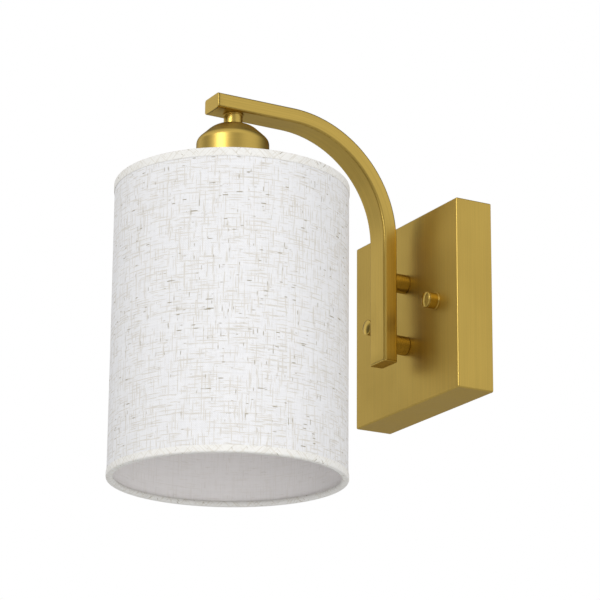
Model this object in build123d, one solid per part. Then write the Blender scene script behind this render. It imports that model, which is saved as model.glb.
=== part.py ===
from build123d import *
import math
import os

# A wall light with a square back plate, an arched flat arm and a cloth drum shade.
# Millimetres. The origin is the centre of the plate's back, on the wall: the wall is the plane
# y = 0, the light stands out along -Y, +Z is up and +X is to the right, seen from the front.

# ---------------------------------------------------------------- driving dimensions

# back plate, a pan open towards the wall
PLATE_SIZE = 120.0
PLATE_DEPTH = 25.0
PLATE_WALL = 1.2
PLATE_EDGE_RADIUS = 1.0

# arm, a flat rectangular tube
ARM_WIDTH = 18.0
ARM_THICKNESS = 9.5
ARM_WALL = 1.0
ARM_CORNER_RADIUS = 1.6
ARM_INNER_CORNER = 0.6
ARM_FOOT_DROP = 34.0
ARM_TOP = 118.5
ARM_TIP_OVERHANG = 15.0
ARM_BEND_RADIUS = 74.0
ARM_CAP_THICKNESS = 1.0

# standoffs between plate and arm
STANDOFF_DIAMETER = 12.0
STANDOFF_LENGTH = 11.0
STANDOFF_HEIGHT = 20.0
STANDOFF_EDGE = 0.5

# threaded tube, nuts and washers of the two wire ways
NIPPLE_DIAMETER = 10.0
NIPPLE_BORE = 7.6
NIPPLE_NUT_WIDTH = 14.0
ARM_NUT_HEIGHT = 2.5
INNER_NUT_HEIGHT = 3.0
NIPPLE_PROJECTION = 1.0
WASHER_THICKNESS = 1.0
WASHER_DIAMETER = 16.0

# screw of the lower standoff
SCREW_DIAMETER = 5.0
SCREW_HEAD_DIAMETER = 9.0
SCREW_HEAD_HEIGHT = 3.0
SCREW_HEAD_EDGE = 1.0
SCREW_NUT_WIDTH = 8.0

# strap that carries the plate on the wall box
STRAP_LENGTH = 104.0
STRAP_WIDTH = 22.0
STRAP_THICKNESS = 1.6
BOX_SCREW_SPACING = 88.9
BOX_SLOT_LENGTH = 10.0
BOX_SLOT_WIDTH = 4.8
STRAP_CENTRE_HOLE = 12.0

# threaded studs, lock nuts, washers and cap nuts
STUD_SPACING = 69.85
STUD_DIAMETER = 4.17
STUD_ENGAGEMENT = 6.0
STUD_NUT_WIDTH = 8.7
STUD_NUT_HEIGHT = 3.2
CAP_NUT_DIAMETER = 9.8
CAP_NUT_HEIGHT = 7.2
CAP_NUT_CROWN = 0.9
CAP_NUT_GROOVE = 0.4
CAP_NUT_HEAD = 1.6
CAP_WASHER_DIAMETER = 11.2
CAP_WASHER_THICKNESS = 0.9
CAP_WASHER_EDGE = 0.3

# ground screw and its lead
GROUND_SCREW_OFFSET = 17.0
GROUND_SCREW_DIAMETER = 4.2
GROUND_HEAD_WIDTH = 8.0
GROUND_HEAD_HEIGHT = 3.4
EYELET_DIAMETER = 8.0
EYELET_THICKNESS = 0.8
EYELET_TONGUE_WIDTH = 1.7
EYELET_BARREL = 6.0
EYELET_BARREL_DIAMETER = 3.4
EYELET_BARREL_START = 5.2
EYELET_GRIP = 2.0
GROUND_LOOP_DROP = 19.0

# leads and the twist-on connectors at their wall ends
LEAD_DIAMETER = 2.0
LEAD_HALF_SPACING = 1.25
LEAD_SIDE_SHIFT = 2.0
LEAD_SLACK = 0.2
LEAD_TURN_RADIUS = 3.2
LEAD_BEND_SHARE = 0.45
LEAD_LIFT = 2.8
LEAD_LIFT_START = 0.375
LEAD_LEVEL_LENGTH = 8.0
CONNECTOR_HALF_SPACING = 12.0
CONNECTOR_DEPTH = 11.0
CONNECTOR_HEIGHT = 18.0
CONNECTOR_TOP_GAP = 4.8
CONNECTOR_MOUTH_DIAMETER = 9.6
CONNECTOR_TIP_DIAMETER = 6.4
CONNECTOR_BORE_DEPTH = 6.0

# neck and spun cup
SHADE_REACH = 148.0
NECK_LENGTH = 7.3
NECK_DIAMETER = 11.6
NECK_RIM_DIAMETER = 12.6
NECK_RIM_HEIGHT = 0.9
CUP_DIAMETER = 44.6
CUP_HEIGHT = 40.3
CUP_WALL = 1.0
CUP_FLAT_DIAMETER = 11.6
CUP_TOP_RADIUS = 14.2
CUP_SHOULDER_RADIUS = 5.3
CUP_SLOPE = 43.8
CUP_WASHER_DIAMETER = 16.4

# socket
SOCKET_CAP_HEIGHT = 16.0
SOCKET_CAP_NECK_DIAMETER = 16.0
SOCKET_CAP_NECK_HEIGHT = 5.5
SOCKET_CAP_SKIRT = 5.0
SOCKET_CAP_WALL = 2.0
SOCKET_CAP_THREAD = 7.0
SOCKET_DIAMETER = 38.0
SOCKET_FLANGE_HEIGHT = 2.5
SOCKET_THREAD_DIAMETER = 39.5
SOCKET_THREAD_LENGTH = 18.7
SOCKET_MOUTH_BORE = 34.6
SOCKET_MOUTH_DEPTH = 8.0
SOCKET_SHELL_WALL = 0.7
SOCKET_SHELL_LENGTH = 24.0
CONTACT_WIDTH = 7.0
CONTACT_LENGTH = 15.0
CONTACT_THICKNESS = 0.5
TERMINAL_HALF_SPACING = 11.0
TERMINAL_HEAD_DIAMETER = 7.0
TERMINAL_HEAD_HEIGHT = 2.6
TERMINAL_SHANK_DIAMETER = 3.5
TERMINAL_DEPTH = 4.0
TERMINAL_SLOT_WIDTH = 0.9
TERMINAL_SLOT_DEPTH = 0.9

# washer and screw ring that hold the shade
RING_WASHER_DIAMETER = 48.0
RING_WASHER_THICKNESS = 1.0
LOCK_RING_DIAMETER = 54.0
LOCK_RING_HEIGHT = 8.0
LOCK_RING_LIP = 2.0
LOCK_RING_GRIPS = 24
LOCK_RING_GRIP_WIDTH = 3.0
LOCK_RING_GRIP_DEPTH = 1.0

# shade
SHADE_DIAMETER = 142.0
SHADE_HEIGHT = 182.5
FABRIC_THICKNESS = 0.5
LINER_THICKNESS = 0.5
SEAM_WIDTH = 9.0
SEAM_THICKNESS = 0.4
TRIM_THICKNESS = 0.6
TOP_TRIM_HEIGHT = 5.4
BOTTOM_TRIM_HEIGHT = 4.2
TRIM_EDGE_RADIUS = 1.1
SHADE_WIRE_DIAMETER = 2.0
SPIDER_HUB_DIAMETER = 52.0
SPIDER_HUB_THICKNESS = 1.5
SPIDER_SPOKES = 3
SPOKE_DIAMETER = 2.4
SPOKE_WELD = 0.8

# lamp
LAMP_LENGTH = 108.0
LAMP_GLOBE_DIAMETER = 60.0
LAMP_NECK_DIAMETER = 28.0
LAMP_GLASS = 0.9
LAMP_SEAT = 6.0
LAMP_SHELL_DIAMETER = 26.1
LAMP_SHELL_LENGTH = 20.0
LAMP_SHELL_WALL = 0.5
LAMP_INSULATOR_HEIGHT = 4.0
LAMP_TIP_DIAMETER = 9.6
LAMP_TIP_HEIGHT = 2.0
LAMP_SHOULDER_RADIUS = 42.0

# clearances
THREAD_GAP = 0.05
GLUE_GAP = 0.05
SEAT_GAP = 0.02
HOLE_GAP = 0.1
RUNNING_GAP = 0.3
HUB_GAP = 0.5
CONTACT_GAP = 0.3
SOCKET_SIDE_GAP = 0.4

# ---------------------------------------------------------------- derived places

NIPPLE_HOLE = NIPPLE_DIAMETER + 2 * HOLE_GAP
SCREW_HOLE = SCREW_DIAMETER + 2 * HOLE_GAP
PLATE_FRONT = -PLATE_DEPTH
PLATE_INSIDE = PLATE_FRONT + PLATE_WALL
CONNECTOR_MOUTH_Z = PLATE_SIZE / 2 - PLATE_WALL - CONNECTOR_TOP_GAP - CONNECTOR_HEIGHT
ARM_BACK = PLATE_FRONT - STANDOFF_LENGTH
ARM_LEG_CENTRE = ARM_BACK - ARM_THICKNESS / 2
ARM_FRONT_INSIDE = ARM_BACK - ARM_THICKNESS + ARM_WALL
ARM_CENTRE_RADIUS = ARM_BEND_RADIUS - ARM_THICKNESS / 2
ARM_TIP = -SHADE_REACH - ARM_TIP_OVERHANG
BEND_Y = ARM_BACK - ARM_BEND_RADIUS
BEND_Z = ARM_TOP - ARM_BEND_RADIUS
ARM_UNDERSIDE = ARM_TOP - ARM_THICKNESS
ARM_FLOOR = ARM_UNDERSIDE + ARM_WALL

SHADE_Y = -SHADE_REACH
CUP_TOP = ARM_UNDERSIDE - NECK_LENGTH
CUP_BOTTOM = CUP_TOP - CUP_HEIGHT
DOME_RADIUS = CUP_TOP_RADIUS - CUP_WALL
DOME_OVERHANG = (CUP_WASHER_DIAMETER - CUP_FLAT_DIAMETER) / 2
DOME_DROP = DOME_RADIUS - math.sqrt(DOME_RADIUS ** 2 - DOME_OVERHANG ** 2)
CUP_WASHER_TOP = CUP_TOP - CUP_WALL - DOME_DROP - SEAT_GAP
CUP_NUT_TOP = CUP_WASHER_TOP - WASHER_THICKNESS
SOCKET_TOP = CUP_NUT_TOP - INNER_NUT_HEIGHT
SOCKET_JOINT = SOCKET_TOP - SOCKET_CAP_HEIGHT

HUB_TOP = CUP_BOTTOM - RUNNING_GAP
HUB_BOTTOM = HUB_TOP - SPIDER_HUB_THICKNESS
HUB_MIDDLE = (HUB_TOP + HUB_BOTTOM) / 2
RING_WASHER_BOTTOM = HUB_BOTTOM - RING_WASHER_THICKNESS
LOCK_RING_BOTTOM = RING_WASHER_BOTTOM - LOCK_RING_HEIGHT
SOCKET_BOTTOM = HUB_TOP - SOCKET_THREAD_LENGTH
SHELL_BOTTOM = SOCKET_BOTTOM + SOCKET_MOUTH_DEPTH
SHELL_TOP = SHELL_BOTTOM + SOCKET_SHELL_LENGTH
SHELL_BORE = LAMP_SHELL_DIAMETER + 2 * RUNNING_GAP
SHELL_DIAMETER = SHELL_BORE + 2 * SOCKET_SHELL_WALL

FABRIC_RADIUS = SHADE_DIAMETER / 2
FABRIC_INNER_RADIUS = FABRIC_RADIUS - FABRIC_THICKNESS
LINER_RADIUS = FABRIC_INNER_RADIUS - GLUE_GAP
LINER_INNER_RADIUS = LINER_RADIUS - LINER_THICKNESS
WIRE_RADIUS = SHADE_WIRE_DIAMETER / 2
RING_RADIUS = LINER_INNER_RADIUS - GLUE_GAP - WIRE_RADIUS
SHADE_TOP = HUB_MIDDLE + WIRE_RADIUS + GLUE_GAP + TRIM_THICKNESS
SHADE_BOTTOM = SHADE_TOP - SHADE_HEIGHT
BOTTOM_RING_Z = SHADE_BOTTOM + WIRE_RADIUS + GLUE_GAP + TRIM_THICKNESS

LAMP_TIP = SHELL_TOP - CONTACT_THICKNESS - CONTACT_GAP
LAMP_SHELL_TOP = LAMP_TIP - LAMP_TIP_HEIGHT - LAMP_INSULATOR_HEIGHT
LAMP_SHELL_BOTTOM = LAMP_SHELL_TOP - LAMP_SHELL_LENGTH
LAMP_GLOBE_Z = LAMP_TIP - LAMP_LENGTH + LAMP_GLOBE_DIAMETER / 2

# frames whose +Z points away from the wall, at a point of the plate or the strap
FACING_OUT = Rot(90, 0, 0)
SHADE_AXIS = Pos(0, SHADE_Y, 0)


# ---------------------------------------------------------------- shared shapes

def disc(diameter, bottom, height):
    """A round disc or rod on the local Z axis, from bottom up."""
    return Pos(0, 0, bottom) * Cylinder(diameter / 2, height, align=(Align.CENTER, Align.CENTER, Align.MIN))


def tube(diameter, bore, bottom, height):
    """A round tube on the local Z axis, from bottom up."""
    return disc(diameter, bottom, height) - disc(bore, bottom, height)


def hex_nut(width, bore, bottom, height):
    """A hexagon nut on the local Z axis, with two of its flats facing +X and -X."""
    outline = RegularPolygon(width / 2, 6, major_radius=False, rotation=30)
    nut = extrude(Pos(0, 0, bottom) * outline, height)
    return nut - disc(bore, bottom, height)


def turned(outline):
    """A solid of revolution about the local Z axis, from a closed outline in the XZ plane."""
    return revolve(make_face(outline), Axis.Z)


def lead_along(points, radii, diameter):
    """A round lead whose middle follows straight runs joined by tangent arcs."""
    route = FilletPolyline(*points, radius=radii)
    start = Plane(origin=route @ 0, z_dir=route % 0)
    lead = sweep(start * Circle(diameter / 2), path=route)
    ideal = math.pi * diameter ** 2 / 4 * route.length
    print("lead radii", [round(r, 1) for r in radii], "volume ratio", round(lead.volume / ideal, 4))
    return lead


def longest_radius(before, corner, after):
    """The radius of an arc at a corner that leaves both runs a straight stretch."""
    run_in = corner - before
    run_out = after - corner
    half_turn = math.radians(run_in.get_angle(run_out) / 2)
    return LEAD_BEND_SHARE * min(run_in.length, run_out.length) / math.tan(half_turn)


# ---------------------------------------------------------------- wall strap and plate

def wall_strap():
    """The flat bar on the wall box: slots for the box screws, tapped holes for studs and ground."""
    strap = Box(STRAP_LENGTH, STRAP_THICKNESS, STRAP_WIDTH, align=(Align.CENTER, Align.MAX, Align.CENTER))
    strap = fillet(strap.edges().filter_by(Axis.Y), BOX_SLOT_WIDTH / 2)
    slot = extrude(SlotOverall(BOX_SLOT_LENGTH, BOX_SLOT_WIDTH), STRAP_THICKNESS)
    for side in (-1, 1):
        strap -= Pos(side * BOX_SCREW_SPACING / 2, 0, 0) * FACING_OUT * slot
        strap -= Pos(side * STUD_SPACING / 2, 0, 0) * FACING_OUT * disc(STUD_DIAMETER, 0, STRAP_THICKNESS)
    strap -= FACING_OUT * disc(STRAP_CENTRE_HOLE, 0, STRAP_THICKNESS)
    ground_hole = disc(GROUND_SCREW_DIAMETER, 0, STRAP_THICKNESS)
    return strap - Pos(GROUND_SCREW_OFFSET, 0, 0) * FACING_OUT * ground_hole


def on_both_studs(piece):
    """The same piece at both studs, as a group of two solids."""
    return Compound(
        children=[Pos(side * STUD_SPACING / 2, 0, 0) * FACING_OUT * piece for side in (-1, 1)]
    )


def stud():
    """A headless threaded stud from the strap's back to the inside of the cap nut."""
    length = PLATE_DEPTH + CAP_WASHER_THICKNESS + STUD_ENGAGEMENT
    return disc(STUD_DIAMETER - 2 * THREAD_GAP, 0, length)


def stud_nut():
    """The lock nut that clamps a stud against the strap's front."""
    return hex_nut(STUD_NUT_WIDTH, STUD_DIAMETER, STRAP_THICKNESS, STUD_NUT_HEIGHT)


def backplate():
    """The square pan, with its mouth on the wall and its holes in the front."""
    outer = Box(PLATE_SIZE, PLATE_DEPTH, PLATE_SIZE, align=(Align.CENTER, Align.MAX, Align.CENTER))
    corners = outer.edges().filter_by(Axis.Y)
    front_edges = outer.faces().sort_by(Axis.Y)[0].edges()
    outer = fillet(corners + front_edges, PLATE_EDGE_RADIUS)
    inside = PLATE_SIZE - 2 * PLATE_WALL
    depth = PLATE_DEPTH - PLATE_WALL
    pan = outer - Box(inside, depth, inside, align=(Align.CENTER, Align.MAX, Align.CENTER))
    hole_start = PLATE_DEPTH - PLATE_WALL
    for side in (-1, 1):
        hole = disc(STUD_DIAMETER + 2 * CONTACT_GAP, hole_start, PLATE_WALL)
        pan -= Pos(side * STUD_SPACING / 2, 0, 0) * FACING_OUT * hole
    pan -= Pos(0, 0, STANDOFF_HEIGHT) * FACING_OUT * disc(NIPPLE_HOLE, hole_start, PLATE_WALL)
    screw_hole = disc(SCREW_HOLE, hole_start, PLATE_WALL)
    return pan - Pos(0, 0, -STANDOFF_HEIGHT) * FACING_OUT * screw_hole


# ---------------------------------------------------------------- cap nuts

def cap_washer(side):
    """The base ring under a cap nut, rounded at its front edge."""
    washer = tube(CAP_WASHER_DIAMETER, STUD_DIAMETER + 2 * CONTACT_GAP, PLATE_DEPTH, CAP_WASHER_THICKNESS)
    rim = washer.faces().sort_by(Axis.Z)[-1].outer_wire().edges()
    washer = fillet(rim, CAP_WASHER_EDGE)
    return Pos(side * STUD_SPACING / 2, 0, 0) * FACING_OUT * washer


def cap_nut(side):
    """The round closed nut: a body, a fine groove and a crowned head."""
    radius = CAP_NUT_DIAMETER / 2
    neck = radius - CAP_NUT_GROOVE
    head = CAP_NUT_HEIGHT - CAP_NUT_HEAD
    groove = head - CAP_NUT_GROOVE
    shoulder = CAP_NUT_HEIGHT - CAP_NUT_CROWN
    sphere = (radius ** 2 + CAP_NUT_CROWN ** 2) / (2 * CAP_NUT_CROWN)
    half_way = math.asin(radius / sphere) / 2
    crown_middle = (sphere * math.sin(half_way), 0, CAP_NUT_HEIGHT - sphere * (1 - math.cos(half_way)))
    crown = ThreePointArc((radius, 0, shoulder), crown_middle, (0, 0, CAP_NUT_HEIGHT))
    side_wall = Polyline(
        (0, 0, 0), (radius, 0, 0), (radius, 0, groove), (neck, 0, groove),
        (neck, 0, head), (radius, 0, head), (radius, 0, shoulder),
    )
    nut = turned([side_wall, crown, Line((0, 0, CAP_NUT_HEIGHT), (0, 0, 0))])
    nut -= disc(STUD_DIAMETER, 0, STUD_ENGAGEMENT + CONTACT_GAP)
    base = PLATE_DEPTH + CAP_WASHER_THICKNESS
    return Pos(side * STUD_SPACING / 2, 0, 0) * FACING_OUT * Pos(0, 0, base) * nut


# ---------------------------------------------------------------- standoffs

def standoff(height, bore):
    """A round spacer between the plate's front and the arm's back, its ends eased."""
    spacer = tube(STANDOFF_DIAMETER, bore, PLATE_DEPTH, STANDOFF_LENGTH)
    ends = spacer.faces().filter_by(Axis.Z)
    rims = [end.outer_wire().edges()[0] for end in ends]
    spacer = chamfer(rims, STANDOFF_EDGE)
    return Pos(0, 0, height) * FACING_OUT * spacer


def standoff_nipple():
    """The threaded tube through the upper standoff, from inside the plate to inside the arm."""
    start = PLATE_DEPTH - PLATE_WALL - WASHER_THICKNESS - INNER_NUT_HEIGHT - NIPPLE_PROJECTION
    end = PLATE_DEPTH + STANDOFF_LENGTH + ARM_WALL + ARM_NUT_HEIGHT
    nipple = tube(NIPPLE_DIAMETER - 2 * THREAD_GAP, NIPPLE_BORE, start, end - start)
    return Pos(0, 0, STANDOFF_HEIGHT) * FACING_OUT * nipple


def nipple_washer():
    """The washer between the plate's inside and the nipple's nut."""
    top = PLATE_DEPTH - PLATE_WALL
    washer = tube(WASHER_DIAMETER, NIPPLE_HOLE, top - WASHER_THICKNESS, WASHER_THICKNESS)
    return Pos(0, 0, STANDOFF_HEIGHT) * FACING_OUT * washer


def nipple_nut():
    """The nut on the nipple inside the plate."""
    top = PLATE_DEPTH - PLATE_WALL - WASHER_THICKNESS
    nut = hex_nut(NIPPLE_NUT_WIDTH, NIPPLE_DIAMETER, top - INNER_NUT_HEIGHT, INNER_NUT_HEIGHT)
    return Pos(0, 0, STANDOFF_HEIGHT) * FACING_OUT * nut


def standoff_screw():
    """The pan-head screw through the lower standoff, its head inside the plate."""
    seat = PLATE_DEPTH - PLATE_WALL - WASHER_THICKNESS - EYELET_THICKNESS
    end = PLATE_DEPTH + STANDOFF_LENGTH + ARM_WALL + ARM_NUT_HEIGHT
    shank = disc(SCREW_DIAMETER - 2 * THREAD_GAP, seat, end - seat)
    head = disc(SCREW_HEAD_DIAMETER, seat - SCREW_HEAD_HEIGHT, SCREW_HEAD_HEIGHT)
    crown = head.edges().sort_by(Axis.Z)[0]
    head = fillet(crown, SCREW_HEAD_EDGE)
    return Pos(0, 0, -STANDOFF_HEIGHT) * FACING_OUT * (head + shank)


def screw_washer():
    """The washer of the lower standoff's screw."""
    top = PLATE_DEPTH - PLATE_WALL
    washer = tube(WASHER_DIAMETER, SCREW_HOLE, top - WASHER_THICKNESS, WASHER_THICKNESS)
    return Pos(0, 0, -STANDOFF_HEIGHT) * FACING_OUT * washer


# ---------------------------------------------------------------- arm

def arm_section(width, thickness, corner):
    """The arm's outline across its run, centred, with its width along X."""
    return RectangleRounded(width, thickness, corner)


def arm_bar(width, thickness, corner, overrun):
    """A bar bent along the arm's middle line, longer at both ends by the overrun."""
    foot = (0, ARM_LEG_CENTRE, -ARM_FOOT_DROP + ARM_CAP_THICKNESS - overrun)
    bend_start = (0, ARM_LEG_CENTRE, BEND_Z)
    bend_end = (0, BEND_Y, BEND_Z + ARM_CENTRE_RADIUS)
    tip = (0, ARM_TIP + ARM_CAP_THICKNESS - overrun, BEND_Z + ARM_CENTRE_RADIUS)
    diagonal = ARM_CENTRE_RADIUS * math.sin(math.radians(45))
    bend_middle = (0, BEND_Y + diagonal, BEND_Z + diagonal)
    bend = ThreePointArc(bend_start, bend_middle, bend_end)
    route = Wire([Line(foot, bend_start), bend, Line(bend_end, tip)])
    return sweep(Pos(*foot) * arm_section(width, thickness, corner), path=route)


def arm():
    """The bent rectangular tube, with its wire and screw holes."""
    outer = arm_bar(ARM_WIDTH, ARM_THICKNESS, ARM_CORNER_RADIUS, 0)
    inner = arm_bar(ARM_WIDTH - 2 * ARM_WALL, ARM_THICKNESS - 2 * ARM_WALL, ARM_INNER_CORNER, ARM_WALL)
    bar = outer - inner
    back = PLATE_DEPTH + STANDOFF_LENGTH
    bar -= Pos(0, 0, STANDOFF_HEIGHT) * FACING_OUT * disc(NIPPLE_HOLE, back, ARM_WALL)
    screw_hole = disc(SCREW_HOLE, back, ARM_WALL)
    bar -= Pos(0, 0, -STANDOFF_HEIGHT) * FACING_OUT * screw_hole
    return bar - SHADE_AXIS * disc(NIPPLE_HOLE, ARM_UNDERSIDE, ARM_WALL)


def arm_end_cap():
    """The plate that closes the arm's front end."""
    outline = arm_section(ARM_WIDTH, ARM_THICKNESS, ARM_CORNER_RADIUS)
    cap = FACING_OUT * extrude(outline, ARM_CAP_THICKNESS)
    return Pos(0, ARM_TIP + ARM_CAP_THICKNESS, BEND_Z + ARM_CENTRE_RADIUS) * cap


def arm_foot_cap():
    """The plate that closes the bottom of the arm's leg."""
    outline = arm_section(ARM_WIDTH, ARM_THICKNESS, ARM_CORNER_RADIUS)
    cap = extrude(outline, ARM_CAP_THICKNESS)
    return Pos(0, ARM_LEG_CENTRE, -ARM_FOOT_DROP) * cap


def arm_nipple_nuts():
    """The two welded nuts inside the arm that the threaded tubes screw into."""
    back = PLATE_DEPTH + STANDOFF_LENGTH + ARM_WALL
    leg_nut = hex_nut(NIPPLE_NUT_WIDTH, NIPPLE_DIAMETER, back, ARM_NUT_HEIGHT)
    neck_nut = hex_nut(NIPPLE_NUT_WIDTH, NIPPLE_DIAMETER, ARM_FLOOR, ARM_NUT_HEIGHT)
    return Compound(
        children=[Pos(0, 0, STANDOFF_HEIGHT) * FACING_OUT * leg_nut, SHADE_AXIS * neck_nut]
    )


def arm_screw_nut():
    """The welded nut inside the arm for the lower standoff's screw."""
    back = PLATE_DEPTH + STANDOFF_LENGTH + ARM_WALL
    nut = hex_nut(SCREW_NUT_WIDTH, SCREW_DIAMETER, back, ARM_NUT_HEIGHT)
    return Pos(0, 0, -STANDOFF_HEIGHT) * FACING_OUT * nut


# ---------------------------------------------------------------- neck and cup

def neck_collar():
    """The short collar under the arm, with a thin rim at its top."""
    collar = tube(NECK_DIAMETER, NIPPLE_HOLE, CUP_TOP, NECK_LENGTH)
    rim = tube(NECK_RIM_DIAMETER, NIPPLE_HOLE, ARM_UNDERSIDE - NECK_RIM_HEIGHT, NECK_RIM_HEIGHT)
    return SHADE_AXIS * (collar + rim)


def neck_nipple():
    """The threaded tube from the arm through collar and cup into the socket's cap."""
    top = ARM_FLOOR + ARM_NUT_HEIGHT
    bottom = SOCKET_TOP - SOCKET_CAP_THREAD
    nipple = tube(NIPPLE_DIAMETER - 2 * THREAD_GAP, NIPPLE_BORE, bottom, top - bottom)
    return SHADE_AXIS * nipple


def cup_line(inset):
    """The cup's outline from its top middle to its rim, set inwards by the inset."""
    slope = math.radians(CUP_SLOPE)
    flat = CUP_FLAT_DIAMETER / 2
    top = CUP_TOP - inset
    top_radius = CUP_TOP_RADIUS - inset
    shoulder_radius = CUP_SHOULDER_RADIUS - inset
    radius = CUP_DIAMETER / 2 - inset
    top_end = (flat + top_radius * math.sin(slope), top - top_radius * (1 - math.cos(slope)))
    top_middle = (flat + top_radius * math.sin(slope / 2), top - top_radius * (1 - math.cos(slope / 2)))
    shoulder_x = radius - shoulder_radius
    shoulder_start_x = shoulder_x + shoulder_radius * math.sin(slope)
    shoulder_start_z = top_end[1] - (shoulder_start_x - top_end[0]) * math.tan(slope)
    shoulder_z = shoulder_start_z - shoulder_radius * math.cos(slope)
    half_way = (slope + math.pi / 2) / 2
    shoulder_middle_x = shoulder_x + shoulder_radius * math.sin(half_way)
    shoulder_middle_z = shoulder_z + shoulder_radius * math.cos(half_way)
    return [
        Line((0, 0, top), (flat, 0, top)),
        ThreePointArc((flat, 0, top), (top_middle[0], 0, top_middle[1]), (top_end[0], 0, top_end[1])),
        Line((top_end[0], 0, top_end[1]), (shoulder_start_x, 0, shoulder_start_z)),
        ThreePointArc(
            (shoulder_start_x, 0, shoulder_start_z),
            (shoulder_middle_x, 0, shoulder_middle_z),
            (radius, 0, shoulder_z),
        ),
        Line((radius, 0, shoulder_z), (radius, 0, CUP_BOTTOM)),
        Line((radius, 0, CUP_BOTTOM), (0, 0, CUP_BOTTOM)),
        Line((0, 0, CUP_BOTTOM), (0, 0, top)),
    ]


def cup():
    """The spun cup over the socket, open at the bottom."""
    shell = turned(cup_line(0)) - turned(cup_line(CUP_WALL))
    return SHADE_AXIS * (shell - disc(NIPPLE_HOLE, CUP_TOP - CUP_WALL, CUP_WALL))


def cup_washer():
    """The washer that the nut presses into the cup's dome."""
    bottom = CUP_WASHER_TOP - WASHER_THICKNESS
    return SHADE_AXIS * tube(CUP_WASHER_DIAMETER, NIPPLE_HOLE, bottom, WASHER_THICKNESS)


def cup_nut():
    """The nut that holds collar and cup against the arm."""
    bottom = CUP_NUT_TOP - INNER_NUT_HEIGHT
    return SHADE_AXIS * hex_nut(NIPPLE_NUT_WIDTH, NIPPLE_DIAMETER, bottom, INNER_NUT_HEIGHT)


# ---------------------------------------------------------------- socket

def socket_cap():
    """The insulating cap on the neck's threaded tube, hollow over the terminals."""
    neck = SOCKET_CAP_NECK_DIAMETER / 2
    skirt = SOCKET_DIAMETER / 2
    neck_end = SOCKET_TOP - SOCKET_CAP_NECK_HEIGHT
    skirt_top = SOCKET_JOINT + SOCKET_CAP_SKIRT
    inside = skirt - SOCKET_CAP_WALL
    inside_top = SOCKET_TOP - SOCKET_CAP_THREAD
    outer = Polyline(
        (0, 0, SOCKET_TOP), (neck, 0, SOCKET_TOP), (neck, 0, neck_end), (skirt, 0, skirt_top),
        (skirt, 0, SOCKET_JOINT), (0, 0, SOCKET_JOINT), close=True,
    )
    hollow = Polyline(
        (0, 0, inside_top), (neck - SOCKET_CAP_WALL, 0, inside_top),
        (inside, 0, skirt_top - SOCKET_CAP_WALL / 2), (inside, 0, SOCKET_JOINT),
        (0, 0, SOCKET_JOINT), close=True,
    )
    cap = turned(outer) - turned(hollow)
    return SHADE_AXIS * (cap - disc(NIPPLE_DIAMETER, inside_top, SOCKET_CAP_THREAD))


def socket_body():
    """The insulating body: flange inside the cup, outer thread, lamp well and terminal holes."""
    flange_diameter = CUP_DIAMETER - 2 * CUP_WALL - 2 * SOCKET_SIDE_GAP
    body = disc(SOCKET_DIAMETER, HUB_TOP, SOCKET_JOINT - HUB_TOP)
    body += disc(flange_diameter, HUB_TOP, SOCKET_FLANGE_HEIGHT)
    body += disc(SOCKET_THREAD_DIAMETER, SOCKET_BOTTOM, HUB_TOP - SOCKET_BOTTOM)
    body -= disc(SOCKET_MOUTH_BORE, SOCKET_BOTTOM, SOCKET_MOUTH_DEPTH)
    body -= disc(SHELL_DIAMETER + 2 * THREAD_GAP, SHELL_BOTTOM, SOCKET_SHELL_LENGTH)
    for side in (-1, 1):
        hole = disc(TERMINAL_SHANK_DIAMETER, SOCKET_JOINT - TERMINAL_DEPTH, TERMINAL_DEPTH)
        body -= Pos(side * TERMINAL_HALF_SPACING, 0, 0) * hole
    return SHADE_AXIS * body


def socket_shell():
    """The brass sleeve that the lamp screws into."""
    height = SOCKET_SHELL_LENGTH - CONTACT_THICKNESS - HOLE_GAP
    return SHADE_AXIS * tube(SHELL_DIAMETER, SHELL_BORE, SHELL_BOTTOM, height)


def socket_contact():
    """The strip at the top of the well that meets the lamp's tip."""
    strip = Box(CONTACT_LENGTH, CONTACT_WIDTH, CONTACT_THICKNESS, align=(Align.CENTER, Align.CENTER, Align.MAX))
    return SHADE_AXIS * Pos(0, 0, SHELL_TOP) * strip


def terminal_screws():
    """The two screws that hold the leads, as a group."""
    head = disc(TERMINAL_HEAD_DIAMETER, SOCKET_JOINT, TERMINAL_HEAD_HEIGHT)
    shank_bottom = SOCKET_JOINT - TERMINAL_DEPTH
    screw = head + disc(TERMINAL_SHANK_DIAMETER - 2 * THREAD_GAP, shank_bottom, TERMINAL_DEPTH)
    slot = Box(
        TERMINAL_SLOT_WIDTH, TERMINAL_HEAD_DIAMETER, TERMINAL_SLOT_DEPTH,
        align=(Align.CENTER, Align.CENTER, Align.MAX),
    )
    screw -= Pos(0, 0, SOCKET_JOINT + TERMINAL_HEAD_HEIGHT) * slot
    places = [SHADE_AXIS * Pos(side * TERMINAL_HALF_SPACING, 0, 0) for side in (-1, 1)]
    return Compound(children=[place * screw for place in places])


# ---------------------------------------------------------------- shade fixing

def ring_washer():
    """The flat washer between the screw ring and the shade's hub."""
    bore = SOCKET_THREAD_DIAMETER + 2 * RUNNING_GAP
    return SHADE_AXIS * tube(RING_WASHER_DIAMETER, bore, RING_WASHER_BOTTOM, RING_WASHER_THICKNESS)


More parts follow.
